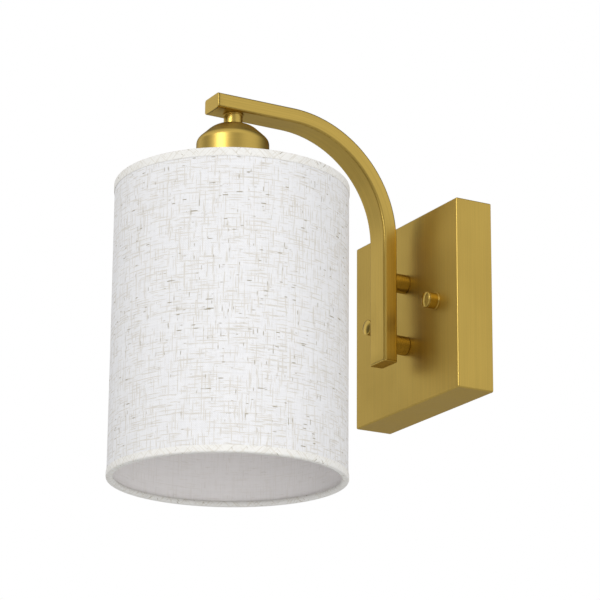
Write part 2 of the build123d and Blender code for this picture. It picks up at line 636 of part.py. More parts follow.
def lock_ring():
    """The screw ring under the shade's hub, with a smooth lip and gripped sides."""
    bore = SOCKET_THREAD_DIAMETER + 2 * THREAD_GAP
    ring = tube(LOCK_RING_DIAMETER, bore, LOCK_RING_BOTTOM, LOCK_RING_HEIGHT)
    grip_height = LOCK_RING_HEIGHT - LOCK_RING_LIP
    grip = Box(
        LOCK_RING_GRIP_DEPTH, LOCK_RING_GRIP_WIDTH, grip_height, align=(Align.MAX, Align.CENTER, Align.MIN)
    )
    places = PolarLocations(LOCK_RING_DIAMETER / 2, LOCK_RING_GRIPS)
    ring -= [Pos(0, 0, LOCK_RING_BOTTOM) * place * grip for place in places]
    return SHADE_AXIS * ring


# ---------------------------------------------------------------- shade

def wire_ring(height):
    """A closed wire ring of the shade."""
    return Pos(0, 0, height) * Torus(RING_RADIUS, WIRE_RADIUS)


def spokes(diameter):
    """The spider's spokes from the hub's edge to the middle of the top ring, one towards the front."""
    start = SPIDER_HUB_DIAMETER / 2 - SPOKE_WELD
    spoke = Pos(0, 0, HUB_MIDDLE) * Rot(0, 90, 0) * disc(diameter, start, RING_RADIUS - start)
    return [Rot(0, 0, 360 / SPIDER_SPOKES * number - 90) * spoke for number in range(SPIDER_SPOKES)]


def shade_spider():
    """The welded top frame: a flat hub round the socket, its spokes and the top ring."""
    bore = SOCKET_THREAD_DIAMETER + 2 * HUB_GAP
    frame = tube(SPIDER_HUB_DIAMETER, bore, HUB_BOTTOM, SPIDER_HUB_THICKNESS)
    frame += wire_ring(HUB_MIDDLE)
    frame += spokes(SPOKE_DIAMETER)
    return SHADE_AXIS * frame


def bottom_ring():
    """The wire ring in the shade's bottom edge."""
    return SHADE_AXIS * wire_ring(BOTTOM_RING_Z)


def shade_liner():
    """The stiff inner skin."""
    bottom = SHADE_BOTTOM + TRIM_THICKNESS + GLUE_GAP
    height = SHADE_HEIGHT - 2 * TRIM_THICKNESS - 2 * GLUE_GAP
    return SHADE_AXIS * tube(2 * LINER_RADIUS, 2 * LINER_INNER_RADIUS, bottom, height)


def shade_fabric():
    """The cloth on the liner, lapped over itself in a seam on the side of the wall."""
    bottom = SHADE_BOTTOM + TRIM_THICKNESS + GLUE_GAP
    height = SHADE_HEIGHT - 2 * TRIM_THICKNESS - 2 * GLUE_GAP
    cloth = tube(2 * FABRIC_RADIUS, 2 * FABRIC_INNER_RADIUS, bottom, height)
    seam_bottom = SHADE_BOTTOM + BOTTOM_TRIM_HEIGHT + GLUE_GAP
    seam_height = SHADE_HEIGHT - BOTTOM_TRIM_HEIGHT - TOP_TRIM_HEIGHT - 2 * GLUE_GAP
    seam_diameter = 2 * (FABRIC_RADIUS + SEAM_THICKNESS)
    lap = tube(seam_diameter, 2 * FABRIC_INNER_RADIUS, seam_bottom, seam_height)
    strip = Box(SEAM_WIDTH, SHADE_DIAMETER, 2 * SHADE_HEIGHT, align=(Align.CENTER, Align.MIN, Align.CENTER))
    return SHADE_AXIS * (cloth + (lap & strip))


def trim_outline(height):
    """The section of the top trim: a tape from the outside over the edge and round the wire."""
    wire_fit = WIRE_RADIUS + GLUE_GAP
    wrap = wire_fit + TRIM_THICKNESS
    cloth = FABRIC_RADIUS + GLUE_GAP
    outside = cloth + TRIM_THICKNESS
    edge = wrap - TRIM_EDGE_RADIUS
    corner = outside - TRIM_EDGE_RADIUS
    diagonal = TRIM_EDGE_RADIUS * math.sin(math.radians(45))
    band_end = wrap - height
    liner = LINER_INNER_RADIUS - GLUE_GAP
    return [
        Line((outside, 0, band_end), (outside, 0, edge)),
        ThreePointArc((outside, 0, edge), (corner + diagonal, 0, edge + diagonal), (corner, 0, wrap)),
        Line((corner, 0, wrap), (RING_RADIUS, 0, wrap)),
        ThreePointArc((RING_RADIUS, 0, wrap), (RING_RADIUS - wrap, 0, 0), (RING_RADIUS, 0, -wrap)),
        Line((RING_RADIUS, 0, -wrap), (liner, 0, -wrap)),
        Line((liner, 0, -wrap), (liner, 0, -wire_fit)),
        Line((liner, 0, -wire_fit), (RING_RADIUS, 0, -wire_fit)),
        ThreePointArc(
            (RING_RADIUS, 0, -wire_fit), (RING_RADIUS - wire_fit, 0, 0), (RING_RADIUS, 0, wire_fit)
        ),
        Line((RING_RADIUS, 0, wire_fit), (cloth, 0, wire_fit)),
        Line((cloth, 0, wire_fit), (cloth, 0, band_end)),
        Line((cloth, 0, band_end), (outside, 0, band_end)),
    ]


def top_trim():
    """The tape round the shade's top edge, slit where the spokes come in."""
    tape = Pos(0, 0, HUB_MIDDLE) * turned(trim_outline(TOP_TRIM_HEIGHT))
    tape -= spokes(SPOKE_DIAMETER + 2 * GLUE_GAP)
    return SHADE_AXIS * tape


def bottom_trim():
    """The tape round the shade's bottom edge."""
    tape = Rot(180, 0, 0) * turned(trim_outline(BOTTOM_TRIM_HEIGHT))
    return SHADE_AXIS * Pos(0, 0, BOTTOM_RING_Z) * tape


# ---------------------------------------------------------------- lamp

def lamp_line(inset):
    """The glass outline from its seat in the shell down to the crown, set inwards by the inset."""
    globe = LAMP_GLOBE_DIAMETER / 2 - inset
    neck = LAMP_NECK_DIAMETER / 2 - inset
    shoulder = LAMP_SHOULDER_RADIUS + inset
    seat = LAMP_SHELL_DIAMETER / 2 - LAMP_SHELL_WALL - GLUE_GAP - inset
    seat_top = LAMP_SHELL_BOTTOM + LAMP_SEAT
    neck_top = LAMP_SHELL_BOTTOM - inset
    # the shoulder's arc is hollow: it touches the neck's side and the globe from outside
    shoulder_x = neck + shoulder
    reach = globe + shoulder
    shoulder_z = LAMP_GLOBE_Z + math.sqrt(reach ** 2 - shoulder_x ** 2)
    touch = globe / reach
    touch_x = shoulder_x * touch
    touch_z = LAMP_GLOBE_Z + (shoulder_z - LAMP_GLOBE_Z) * touch
    turn = math.asin((shoulder_z - LAMP_GLOBE_Z) / reach)
    middle_x = shoulder_x - shoulder * math.cos(turn / 2)
    middle_z = shoulder_z - shoulder * math.sin(turn / 2)
    tilt = (turn - math.pi / 2) / 2
    return [
        Line((0, 0, seat_top), (seat, 0, seat_top)),
        Line((seat, 0, seat_top), (seat, 0, neck_top)),
        Line((seat, 0, neck_top), (neck, 0, neck_top)),
        Line((neck, 0, neck_top), (neck, 0, shoulder_z)),
        ThreePointArc((neck, 0, shoulder_z), (middle_x, 0, middle_z), (touch_x, 0, touch_z)),
        ThreePointArc(
            (touch_x, 0, touch_z),
            (globe * math.cos(tilt), 0, LAMP_GLOBE_Z + globe * math.sin(tilt)),
            (0, 0, LAMP_GLOBE_Z - globe),
        ),
        Line((0, 0, LAMP_GLOBE_Z - globe), (0, 0, seat_top)),
    ]


def lamp_glass():
    """The frosted envelope, its open neck seated in the screw shell."""
    return SHADE_AXIS * (turned(lamp_line(0)) - turned(lamp_line(LAMP_GLASS)))


def lamp_shell():
    """The screw shell, its top drawn in to a shoulder under the insulator."""
    bore = LAMP_SHELL_DIAMETER - 2 * LAMP_SHELL_WALL
    shell = disc(LAMP_SHELL_DIAMETER, LAMP_SHELL_BOTTOM, LAMP_SHELL_LENGTH)
    shell -= disc(bore, LAMP_SHELL_BOTTOM, LAMP_SHELL_LENGTH - LAMP_SHELL_WALL)
    return SHADE_AXIS * shell


def lamp_insulator():
    """The dark cone between the screw shell and the tip."""
    wide = LAMP_SHELL_DIAMETER / 2 - LAMP_SHELL_WALL
    narrow = LAMP_TIP_DIAMETER / 2
    cone = Cone(wide, narrow, LAMP_INSULATOR_HEIGHT, align=(Align.CENTER, Align.CENTER, Align.MIN))
    return SHADE_AXIS * Pos(0, 0, LAMP_SHELL_TOP) * cone


def lamp_tip():
    """The round contact at the lamp's end."""
    tip = disc(LAMP_TIP_DIAMETER, LAMP_TIP - LAMP_TIP_HEIGHT, LAMP_TIP_HEIGHT)
    tip = fillet(tip.edges().sort_by(Axis.Z)[-1], LAMP_TIP_HEIGHT / 2)
    return SHADE_AXIS * tip


# ---------------------------------------------------------------- leads

def power_lead(side):
    """One lead from its connector in the plate through standoff, arm and neck to its terminal."""
    radius = LEAD_DIAMETER / 2
    x = side * LEAD_HALF_SPACING
    bore_z = STANDOFF_HEIGHT - LEAD_SIDE_SHIFT
    leg_y = ARM_FRONT_INSIDE + LEAD_SLACK + radius
    bend_radius = leg_y - BEND_Y
    floor_z = BEND_Z + bend_radius
    lift_z = floor_z + LEAD_LIFT + LEAD_SLACK
    neck_y = SHADE_Y - LEAD_SIDE_SHIFT
    lift_end_y = neck_y + LEAD_LEVEL_LENGTH + LEAD_TURN_RADIUS
    lift_start_y = BEND_Y + LEAD_LIFT_START * (lift_end_y - BEND_Y)
    nipple_end = SOCKET_TOP - SOCKET_CAP_THREAD
    end_z = SOCKET_JOINT + TERMINAL_HEAD_HEIGHT / 2 + LEAD_SLACK
    end_x = side * (TERMINAL_HALF_SPACING - TERMINAL_HEAD_DIAMETER / 2 - THREAD_GAP)
    connector = Vector(side * CONNECTOR_HALF_SPACING, -CONNECTOR_DEPTH, CONNECTOR_MOUTH_Z)
    points = [
        connector + Vector(0, 0, CONNECTOR_BORE_DEPTH),
        connector - Vector(0, 0, CONNECTOR_BORE_DEPTH),
        Vector(x, -CONNECTOR_DEPTH - LEAD_SIDE_SHIFT, bore_z),
        Vector(x, leg_y, bore_z),
        Vector(x, leg_y, floor_z),
        Vector(x, lift_start_y, floor_z),
        Vector(x, lift_end_y, lift_z),
        Vector(x, neck_y, lift_z),
        Vector(x, neck_y, nipple_end - LEAD_SIDE_SHIFT),
        Vector((x + end_x) / 2, SHADE_Y, end_z),
        Vector(end_x, SHADE_Y, end_z),
    ]
    radii = [longest_radius(*points[n - 1:n + 2]) for n in range(1, len(points) - 1)]
    radii[2] = LEAD_TURN_RADIUS
    radii[3] = bend_radius
    radii[6] = LEAD_TURN_RADIUS
    return lead_along(points, radii, LEAD_DIAMETER)


def connectors():
    """The two twist-on caps over the leads' wall ends, as a group."""
    mouth = CONNECTOR_MOUTH_DIAMETER / 2
    cap = Cone(mouth, CONNECTOR_TIP_DIAMETER / 2, CONNECTOR_HEIGHT, align=(Align.CENTER, Align.CENTER, Align.MIN))
    cap -= disc(LEAD_DIAMETER + 2 * THREAD_GAP, 0, CONNECTOR_BORE_DEPTH)
    places = [
        Pos(side * CONNECTOR_HALF_SPACING, -CONNECTOR_DEPTH, CONNECTOR_MOUTH_Z) for side in (-1, 1)
    ]
    return Compound(children=[place * cap for place in places])


def ground_screw():
    """The ground screw in the strap, its head clamping the strap's eyelet."""
    shank = disc(GROUND_SCREW_DIAMETER - 2 * THREAD_GAP, 0, STRAP_THICKNESS + EYELET_THICKNESS)
    head_bottom = STRAP_THICKNESS + EYELET_THICKNESS
    outline = RegularPolygon(GROUND_HEAD_WIDTH / 2, 6, major_radius=False)
    head = extrude(Pos(0, 0, head_bottom) * outline, GROUND_HEAD_HEIGHT)
    return Pos(GROUND_SCREW_OFFSET, 0, 0) * FACING_OUT * (shank + head)


def eyelet(bore):
    """A ring terminal flat on the local XY plane: ring, tongue and a barrel along -Y."""
    outline = Circle(EYELET_DIAMETER / 2)
    tongue_length = EYELET_BARREL_START + EYELET_BARREL
    outline += Rectangle(EYELET_TONGUE_WIDTH, tongue_length, align=(Align.CENTER, Align.MAX))
    flat = extrude(outline, EYELET_THICKNESS) - disc(bore, 0, EYELET_THICKNESS)
    barrel_place = Pos(0, -EYELET_BARREL_START, EYELET_BARREL_DIAMETER / 2) * Rot(90, 0, 0)
    terminal = flat + barrel_place * disc(EYELET_BARREL_DIAMETER, 0, EYELET_BARREL)
    return terminal - barrel_place * disc(LEAD_DIAMETER + 2 * THREAD_GAP, 0, EYELET_BARREL)


def ground_eyelets():
    """The ground lead's two ring terminals: on the strap and on the lower standoff's screw."""
    at_strap = Pos(GROUND_SCREW_OFFSET, -STRAP_THICKNESS, 0) * FACING_OUT * eyelet(GROUND_SCREW_DIAMETER)
    seat = PLATE_INSIDE + WASHER_THICKNESS
    at_plate = Pos(0, seat, -STANDOFF_HEIGHT) * FACING_OUT * Rot(0, 180, 0) * eyelet(SCREW_HOLE)
    return Compound(children=[at_strap, at_plate])


def ground_lead():
    """The lead that grounds plate and arm, in a slack loop down from its two eyelets."""
    barrel = EYELET_BARREL_DIAMETER / 2
    inside = EYELET_BARREL_START + EYELET_GRIP
    strap_y = -STRAP_THICKNESS - barrel
    plate_y = PLATE_INSIDE + WASHER_THICKNESS + barrel
    plate_z = -STANDOFF_HEIGHT - inside
    loop_z = plate_z - GROUND_LOOP_DROP
    points = [
        Vector(GROUND_SCREW_OFFSET, strap_y, -inside),
        Vector(GROUND_SCREW_OFFSET, strap_y, loop_z),
        Vector(0, plate_y, loop_z),
        Vector(0, plate_y, plate_z),
    ]
    radii = [longest_radius(*points[n - 1:n + 2]) for n in range(1, len(points) - 1)]
    return lead_along(points, radii, LEAD_DIAMETER)


# ---------------------------------------------------------------- the whole light

PIECES = {
    "wall_strap": wall_strap(),
    "canopy_studs": on_both_studs(stud()),
    "canopy_stud_nuts": on_both_studs(stud_nut()),
    "backplate": backplate(),
    "cap_nut_washer_left": cap_washer(-1),
    "cap_nut_washer_right": cap_washer(1),
    "cap_nut_left": cap_nut(-1),
    "cap_nut_right": cap_nut(1),
    "standoff_upper": standoff(STANDOFF_HEIGHT, NIPPLE_HOLE),
    "standoff_lower": standoff(-STANDOFF_HEIGHT, SCREW_HOLE),
    "standoff_nipple": standoff_nipple(),
    "nipple_washer": nipple_washer(),
    "nipple_nut": nipple_nut(),
    "standoff_screw": standoff_screw(),
    "standoff_screw_washer": screw_washer(),
    "arm": arm(),
    "arm_end_cap": arm_end_cap(),
    "arm_foot_cap": arm_foot_cap(),
    "arm_nipple_nuts": arm_nipple_nuts(),
    "arm_screw_nut": arm_screw_nut(),
    "neck_collar": neck_collar(),
    "neck_nipple": neck_nipple(),
    "cup": cup(),
    "cup_washer": cup_washer(),
    "cup_nut": cup_nut(),
    "socket_cap": socket_cap(),
    "socket_body": socket_body(),
    "socket_shell": socket_shell(),
    "socket_contact": socket_contact(),
    "socket_terminal_screws": terminal_screws(),
    "ring_washer": ring_washer(),
    "lock_ring": lock_ring(),
    "shade_spider": shade_spider(),
    "shade_bottom_ring": bottom_ring(),
    "shade_liner": shade_liner(),
    "shade_fabric": shade_fabric(),
    "shade_top_trim": top_trim(),
    "shade_bottom_trim": bottom_trim(),
    "lamp_glass": lamp_glass(),
    "lamp_shell": lamp_shell(),
    "lamp_insulator": lamp_insulator(),
    "lamp_tip": lamp_tip(),
    "live_lead": power_lead(-1),
    "neutral_lead": power_lead(1),
    "wire_connectors": connectors(),
    "ground_screw": ground_screw(),
    "ground_eyelets": ground_eyelets(),
    "ground_lead": ground_lead(),
}

os.makedirs("parts", exist_ok=True)
for name, piece in PIECES.items():
    export_step(piece, f"parts/{name}.step")
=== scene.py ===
"""A wall light with a square brushed plate, an arched flat arm and a linen drum shade.

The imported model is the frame: metres, the wall is the plane y = 0, the light stands out along -Y
and +Z is up. Every new piece is a surface worked out with numpy in that same frame. The fixings
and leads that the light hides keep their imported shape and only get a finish.
"""
import math

import bmesh
import bpy
import numpy as np
from bpy.props import FloatProperty, FloatVectorProperty, IntProperty, PointerProperty
from mathutils import Matrix, Vector


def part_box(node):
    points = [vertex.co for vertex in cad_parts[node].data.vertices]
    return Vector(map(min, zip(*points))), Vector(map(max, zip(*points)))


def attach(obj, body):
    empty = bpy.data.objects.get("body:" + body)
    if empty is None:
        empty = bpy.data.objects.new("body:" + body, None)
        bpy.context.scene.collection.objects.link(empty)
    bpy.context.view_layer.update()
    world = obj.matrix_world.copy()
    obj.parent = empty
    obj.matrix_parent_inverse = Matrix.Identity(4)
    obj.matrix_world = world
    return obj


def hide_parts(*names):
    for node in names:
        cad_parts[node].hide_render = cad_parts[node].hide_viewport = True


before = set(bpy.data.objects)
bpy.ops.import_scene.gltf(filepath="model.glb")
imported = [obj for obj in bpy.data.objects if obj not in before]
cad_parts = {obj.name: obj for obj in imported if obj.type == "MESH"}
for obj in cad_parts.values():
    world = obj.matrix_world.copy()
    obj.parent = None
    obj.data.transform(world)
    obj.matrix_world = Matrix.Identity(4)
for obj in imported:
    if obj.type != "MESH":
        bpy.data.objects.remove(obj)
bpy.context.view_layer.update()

bl_info = {
    "name": "Shade wall light",
    "version": (1, 0, 0),
    "blender": (4, 5, 0),
    "location": "View3D > Sidebar > Wall light",
    "description": "Builds a brushed brass wall light with a linen drum shade round its packed model",
    "category": "Add Mesh",
}

MM = 0.001
FULL_TURN, HALF_TURN, QUARTER_TURN = 2 * math.pi, math.pi, math.pi / 2
ON_PLAN, ON_WALL = np.array([1, 1, 0]), np.array([1, 0, 1])
LAYER_GAP, CUP_LIP, SPOKE_OVERLAP = 0.05 * MM, 0.3 * MM, 0.8 * MM
MERGE_DISTANCE = 1e-6


def mm(*values):
    """Millimetres as metres, in an array that can be unpacked into named values."""
    return np.array(values) * MM


def box(node):
    """The lowest and highest corner of a node at rest, as two arrays."""
    low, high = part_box(node)
    return np.array(low), np.array(high)


def middle(node):
    """The middle of a node's box."""
    low, high = box(node)
    return (low + high) / 2


def axis_of(node):
    """The point on the floor plan round which a turned node stands, at height 0."""
    return middle(node) * ON_PLAN


def standing(node):
    """Radius, bottom and top of a node that is turned about the upright."""
    low, high = box(node)
    return (high[0] - low[0]) / 2, low[2], high[2]


def lying(node):
    """Radius, near end and far end of a node that is turned about -Y, as distances from the wall."""
    low, high = box(node)
    return (high[0] - low[0]) / 2, -high[1], -low[1]


# ---------------------------------------------------------------- sizes and colours

def length(name, description, millimetres):
    """A length property with its default in millimetres."""
    return FloatProperty(
        name=name, description=description, default=millimetres * MM, min=0.0,
        subtype="DISTANCE", unit="LENGTH", precision=5,
    )


def colour(name, description, red, green, blue):
    """A colour property, scene linear."""
    return FloatVectorProperty(
        name=name, description=description, default=(red, green, blue), size=3,
        min=0.0, max=1.0, subtype="COLOR",
    )


class WallLightSizes(bpy.types.PropertyGroup):
    """Wall thicknesses, corners and threads that the node boxes don't give."""

    plate_wall: length("Plate wall", "Sheet thickness of the back plate", 1.2)
    plate_edge: length("Plate edge", "Rounding of the back plate's front edges", 1.0)
    arm_wall: length("Arm wall", "Wall of the arm's rectangular tube", 1.0)
    arm_corner: length("Arm corner", "Rounding along the arm's long edges", 1.6)
    arm_bend: length("Arm bend", "Outer radius of the arm's bend", 74.0)
    cap_edge: length("Cap edge", "Rounding at the rim of the arm's closing plates", 0.35)
    cup_wall: length("Cup wall", "Sheet thickness of the spun cup", 1.0)
    cup_flat: length("Cup flat", "Radius of the flat at the cup's top", 5.8)
    cup_dome: length("Cup dome", "Radius of the cup's upper curve", 14.2)
    cup_shoulder: length("Cup shoulder", "Radius of the cup's shoulder", 5.3)
    cup_slope: FloatProperty(
        name="Cup slope", description="Slope of the cup's cone under the level",
        default=math.radians(43.8), subtype="ANGLE", unit="ROTATION",
    )
    wire_hole: length("Wire hole", "Radius of the holes for the threaded tube", 5.1)
    screw_hole: length("Screw hole", "Radius of the hole in the lower standoff", 2.6)
    contact: length("Contact gap", "Gap left between faces that turn on each other", 0.02)
    stud_hole: length("Stud hole", "Radius of the hole in the nuts' base washers", 2.385)
    skin: length("Shade skin", "Thickness of the cloth and of the liner", 0.5)
    seam_width: length("Seam width", "Width of the cloth's lap", 9.0)
    seam_step: length("Seam step", "How far the lap stands proud", 0.4)
    tape: length("Tape", "Thickness of the edge tape", 0.6)
    wire: length("Shade wire", "Diameter of the shade's ring wire", 2.0)
    spoke: length("Spoke", "Diameter of the shade's spokes", 2.4)
    yarn: length("Yarn pitch", "Distance from yarn to yarn in the linen", 0.50)
    lamp_pitch: length("Lamp pitch", "Pitch of the lamp's screw thread", 3.62857)
    ring_pitch: length("Ring pitch", "Pitch of the thread for the screw ring", 2.5)
    grips: IntProperty(name="Grips", description="Finger grips round the screw ring", default=24, min=8)
    floor_drop: length("Floor drop", "Distance of the floor below the wall's origin", 1650.0)


class WallLightColours(bpy.types.PropertyGroup):
    """The finishes' own colours, scene linear."""

    brass: colour("Brass", "Brushed and lacquered brass", 0.555, 0.387, 0.092)
    bare_brass: colour("Bare brass", "Unlacquered contacts", 0.62, 0.46, 0.20)
    zinc: colour("Zinc", "Bright zinc plating", 0.56, 0.57, 0.58)
    linen: colour("Linen", "Ground of the shade cloth", 0.842, 0.842, 0.855)
    slub: colour("Slub", "Thick yarns and flecks of the cloth", 0.32, 0.275, 0.185)
    tape: colour("Edge tape", "Bias tape on the shade's edges", 0.86, 0.85, 0.82)
    liner: colour("Liner", "The shade's stiff inner skin", 0.94, 0.915, 0.91)
    enamel: colour("Enamel", "Enamelled shade wire", 0.78, 0.78, 0.76)
    socket: colour("Socket", "Moulded socket", 0.028, 0.027, 0.026)
    ring: colour("Screw ring", "Moulded screw ring", 0.035, 0.034, 0.033)
    opal: colour("Opal glass", "Frosted lamp glass", 0.86, 0.86, 0.84)
    nickel: colour("Lamp metal", "Nickelled lamp shell", 0.62, 0.61, 0.58)
    cement: colour("Insulator", "Dark lamp insulator", 0.02, 0.02, 0.022)
    live: colour("Live lead", "Insulation of the live lead", 0.022, 0.022, 0.022)
    neutral: colour("Neutral lead", "Insulation of the neutral lead", 0.72, 0.71, 0.68)
    ground: colour("Ground lead", "Insulation of the ground lead", 0.045, 0.24, 0.075)
    connector: colour("Connector", "Twist-on wire connectors", 0.72, 0.25, 0.035)
    floor: colour("Floor", "The pale floor", 0.82, 0.82, 0.82)


def sizes():
    return bpy.context.scene.wall_light_sizes


def colours():
    return bpy.context.scene.wall_light_colours


# ---------------------------------------------------------------- surfaces

def rounded(corners, radii, steps=6):
    """A run of corner points with each corner turned into an arc.

    At a corner P between the directions a and b, the arc's middle is P + r / sin(half) along
    their bisector, and the arc runs between the tangent points P + a r / tan(half) and
    P + b r / tan(half), half being half the angle between a and b. Radius 0 keeps the point.
    """
    corners = np.asarray(corners, float)
    before, after = np.roll(corners, 1, axis=0), np.roll(corners, -1, axis=0)
    runs = []
    for point, last, following, radius in zip(corners, before, after, radii):
        if radius == 0:
            runs.append(point[None])
            continue
        a = (last - point) / np.linalg.norm(last - point)
        b = (following - point) / np.linalg.norm(following - point)
        half = math.acos(np.clip(a @ b, -1, 1)) / 2
        bisector = (a + b) / np.linalg.norm(a + b)
        centre = point + bisector * radius / math.sin(half)
        start = point + a * radius / math.tan(half) - centre
        end = point + b * radius / math.tan(half) - centre
        turn = math.pi - 2 * half
        t = np.linspace(0, 1, steps + 1)[:, None]
        runs.append(centre + (start * np.sin((1 - t) * turn) + end * np.sin(t * turn)) / math.sin(turn))
    return np.concatenate(runs)


def arc(centre, radius, start, end, steps):
    """Points at even angles on an arc: centre + radius (cos a, sin a), a from start to end."""
    a = np.linspace(start, end, steps + 1)
    return np.stack([centre[0] + radius * np.cos(a), centre[1] + radius * np.sin(a)], axis=1)


def run_lengths(points, closed):
    """The length along a run of points, from 0 at the first, with the way back if it is closed."""
    if closed:
        points = np.concatenate([points, points[:1]])
    return np.concatenate([[0.0], np.cumsum(np.linalg.norm(np.diff(points, axis=0), axis=1))])


def upright(points):
    """Local axes kept: the piece's own axis is +Z."""
    return points


def facing_out(points):
    """The piece's own axis turned to -Y: (x, y, z) becomes (x, -z, y)."""
    return np.stack([points[..., 0], -points[..., 2], points[..., 1]], axis=-1)


def area_normals(mesh):
    """Vertex normals weighted by face area, so that flats stay flat beside fine roundings."""
    faces, loops = len(mesh.polygons), len(mesh.loops)
    normals, areas, counts = np.empty(faces * 3), np.empty(faces), np.empty(faces, int)
    mesh.polygons.foreach_get("normal", normals)
    mesh.polygons.foreach_get("area", areas)
    mesh.polygons.foreach_get("loop_total", counts)
    corner = np.empty(loops, int)
    mesh.loops.foreach_get("vertex_index", corner)
    weighted = np.repeat(normals.reshape(-1, 3) * areas[:, None], counts, axis=0)
    total = np.zeros((len(mesh.vertices), 3))
    np.add.at(total, corner, weighted)
    size = np.linalg.norm(total, axis=1, keepdims=True)
    mesh.normals_split_custom_set_from_vertices(total / np.maximum(size, 1e-20))


def laid_out(along, around):
    """The map of a grid, in metres: the way round as U and the way along the profile as V."""
    return np.stack(np.meshgrid(along, around, indexing="ij")[::-1], axis=-1)


def share(distance, width):
    """How far a distance reaches into a width: 0 before it and 1 past it."""
    return np.clip(distance / width, 0, 1)


def between(value, low, high, width):
    """1 between low and high and 0 outside them, with an even change over the width at each end."""
    return share(value - low, width) * share(high - value, width)


def piece(name, points, uv, wraps, body, material, replaces=()):
    """A mesh from a grid of points (rows, columns, 3), joined to itself where wraps says so.

    The faces are the grid's squares. Their sum of v0 . (v1 x v2) is six times the volume, and
    where that is negative all faces are turned, so that they point outwards.
    """
    rows, columns = points.shape[:2]
    face_rows = rows if wraps[0] else rows - 1
    face_columns = columns if wraps[1] else columns - 1
    i, j = np.meshgrid(np.arange(face_rows), np.arange(face_columns), indexing="ij")
    down, right = (i + 1) % rows, (j + 1) % columns
    faces = np.stack([i * columns + j, i * columns + right, down * columns + right, down * columns + j], -1)
    corners = np.stack([uv[i, j], uv[i, j + 1], uv[i + 1, j + 1], uv[i + 1, j]], axis=2)
    faces, corners = faces.reshape(-1, 4), corners.reshape(-1, 4, 2)
    flat = points.reshape(-1, 3)
    a, b, c, d = (flat[faces[:, k]] for k in range(4))
    volume = np.sum(a * np.cross(b, c)) + np.sum(a * np.cross(c, d))
    if volume < 0:
        faces, corners = faces[:, ::-1], corners[:, ::-1]
    mesh = bpy.data.meshes.new(name)
    mesh.from_pydata(flat.tolist(), [], faces.tolist())
    mesh.uv_layers.new(name="UVMap").data.foreach_set("uv", corners.ravel())
    joined = bmesh.new()
    joined.from_mesh(mesh)
    bmesh.ops.remove_doubles(joined, verts=joined.verts, dist=MERGE_DISTANCE)
    joined.to_mesh(mesh)
    joined.free()
    mesh.polygons.foreach_set("use_smooth", np.ones(len(mesh.polygons), bool))
    area_normals(mesh)
    mesh.materials.append(finish(material))
    thing = bpy.data.objects.new(name, mesh)
    bpy.context.scene.collection.objects.link(thing)
    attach(thing, body)
    if replaces:
        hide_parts(*replaces)
    return thing


def turned_grid(profile, closed, sides, relief=None):
    """A profile of (radius, height) carried round its axis.

    Point (i, j) is (r cos a, r sin a, h), a = j turns / sides. relief gives r anew from the
    angle, the profile's radius and the height. The map is (R a, length along the profile), R
    being the profile's largest radius.
    """
    a = np.arange(sides) * FULL_TURN / sides
    radius = np.repeat(profile[:, :1], sides, axis=1)
    height = np.repeat(profile[:, 1:2], sides, axis=1)
    if relief is not None:
        radius = relief(a[None, :], radius, height)
    points = np.stack([radius * np.cos(a), radius * np.sin(a), height], axis=-1)
    around = np.linspace(0, FULL_TURN, sides + 1) * profile[:, 0].max()
    return points, laid_out(run_lengths(profile, closed), around)


def turned(name, profile, place, body, material, replaces=(),
           closed=True, sides=96, way=upright, relief=None):
    """A turned piece: its grid, faced the right way and set at its place."""
    points, uv = turned_grid(np.asarray(profile, float), closed, sides, relief)
    piece(name, way(points) + place, uv, (closed, True), body, material, replaces)


def slab(name, levels, place, body, material, replaces, way=upright, edge_steps=8):
    """A rounded rectangle carried through levels of (half width, half depth, corner radius, height).

    Each outline has four corner arcs, centre (+-(w - r), +-(d - r)) plus r (cos a, sin a), and
    even points along the edges between them.
    """
    corner_steps = 6
    levels = np.asarray(levels, float)
    w, d, r, h = (levels[:, k:k + 1] for k in range(4))
    quarter = np.linspace(0, QUARTER_TURN, corner_steps + 1)
    shares = np.linspace(0, 1, edge_steps + 1)[1:-1]
    parts = []
    for k, (sx, sy) in enumerate([(1, 1), (-1, 1), (-1, -1), (1, -1)]):
        a = quarter + k * QUARTER_TURN
        parts.append(np.stack([sx * (w - r) + r * np.cos(a), sy * (d - r) + r * np.sin(a)], axis=-1))
    ring = []
    for k in range(4):
        last, following = parts[k][:, -1:], parts[(k + 1) % 4][:, :1]
        ring += [parts[k], last + (following - last) * shares[None, :, None]]
    ring = np.concatenate(ring, axis=1)
    height = np.repeat(h[:, :, None], ring.shape[1], axis=1)
    points = np.concatenate([ring, height], axis=-1)
    widest = ring[int(np.argmax(w))]
    uv = laid_out(run_lengths(np.concatenate([w, h], axis=1), False), run_lengths(widest, True))
    piece(name, way(points) + place, uv, (False, True), body, material, replaces)


def tube_along(name, path, outward, outer, inner, body, material, replaces):
    """A walled tube bent in the plane x = 0, from its outer and inner outline.

    At each station the outline's (x, depth) is laid along +X and the outward direction, first
    along the outside and then back along the inside, which closes the walls at both ends.
    """
    across = np.array([1.0, 0.0, 0.0])

    def walls(outline):
        return path[:, None] + outline[None, :, :1] * across + outline[None, :, 1:] * outward[:, None]

    points = np.concatenate([walls(outer), walls(inner)[::-1]])
    along = run_lengths(path, False)
    along = np.concatenate([along, along[::-1], along[:1]])
    uv = laid_out(along, run_lengths(outer, True))
    piece(name, points, uv, (True, True), body, material, replaces)


def ring_outline(bore, rim, bottom, top, radii, steps=6):
    """The rectangular section of a ring, from its lower inner corner outwards and round."""
    return rounded([(bore, bottom), (rim, bottom), (rim, top), (bore, top)], radii, steps)


def wire_loop(name, radius, height, place, replaces=()):
    """A closed ring of the shade's round wire: a circle of the wire's radius carried round the axis."""
    section = arc((radius, height), sizes().wire / 2, 0, FULL_TURN, 16)[:-1]
    turned(name, section, place, "shade", "enamel", replaces, sides=240)


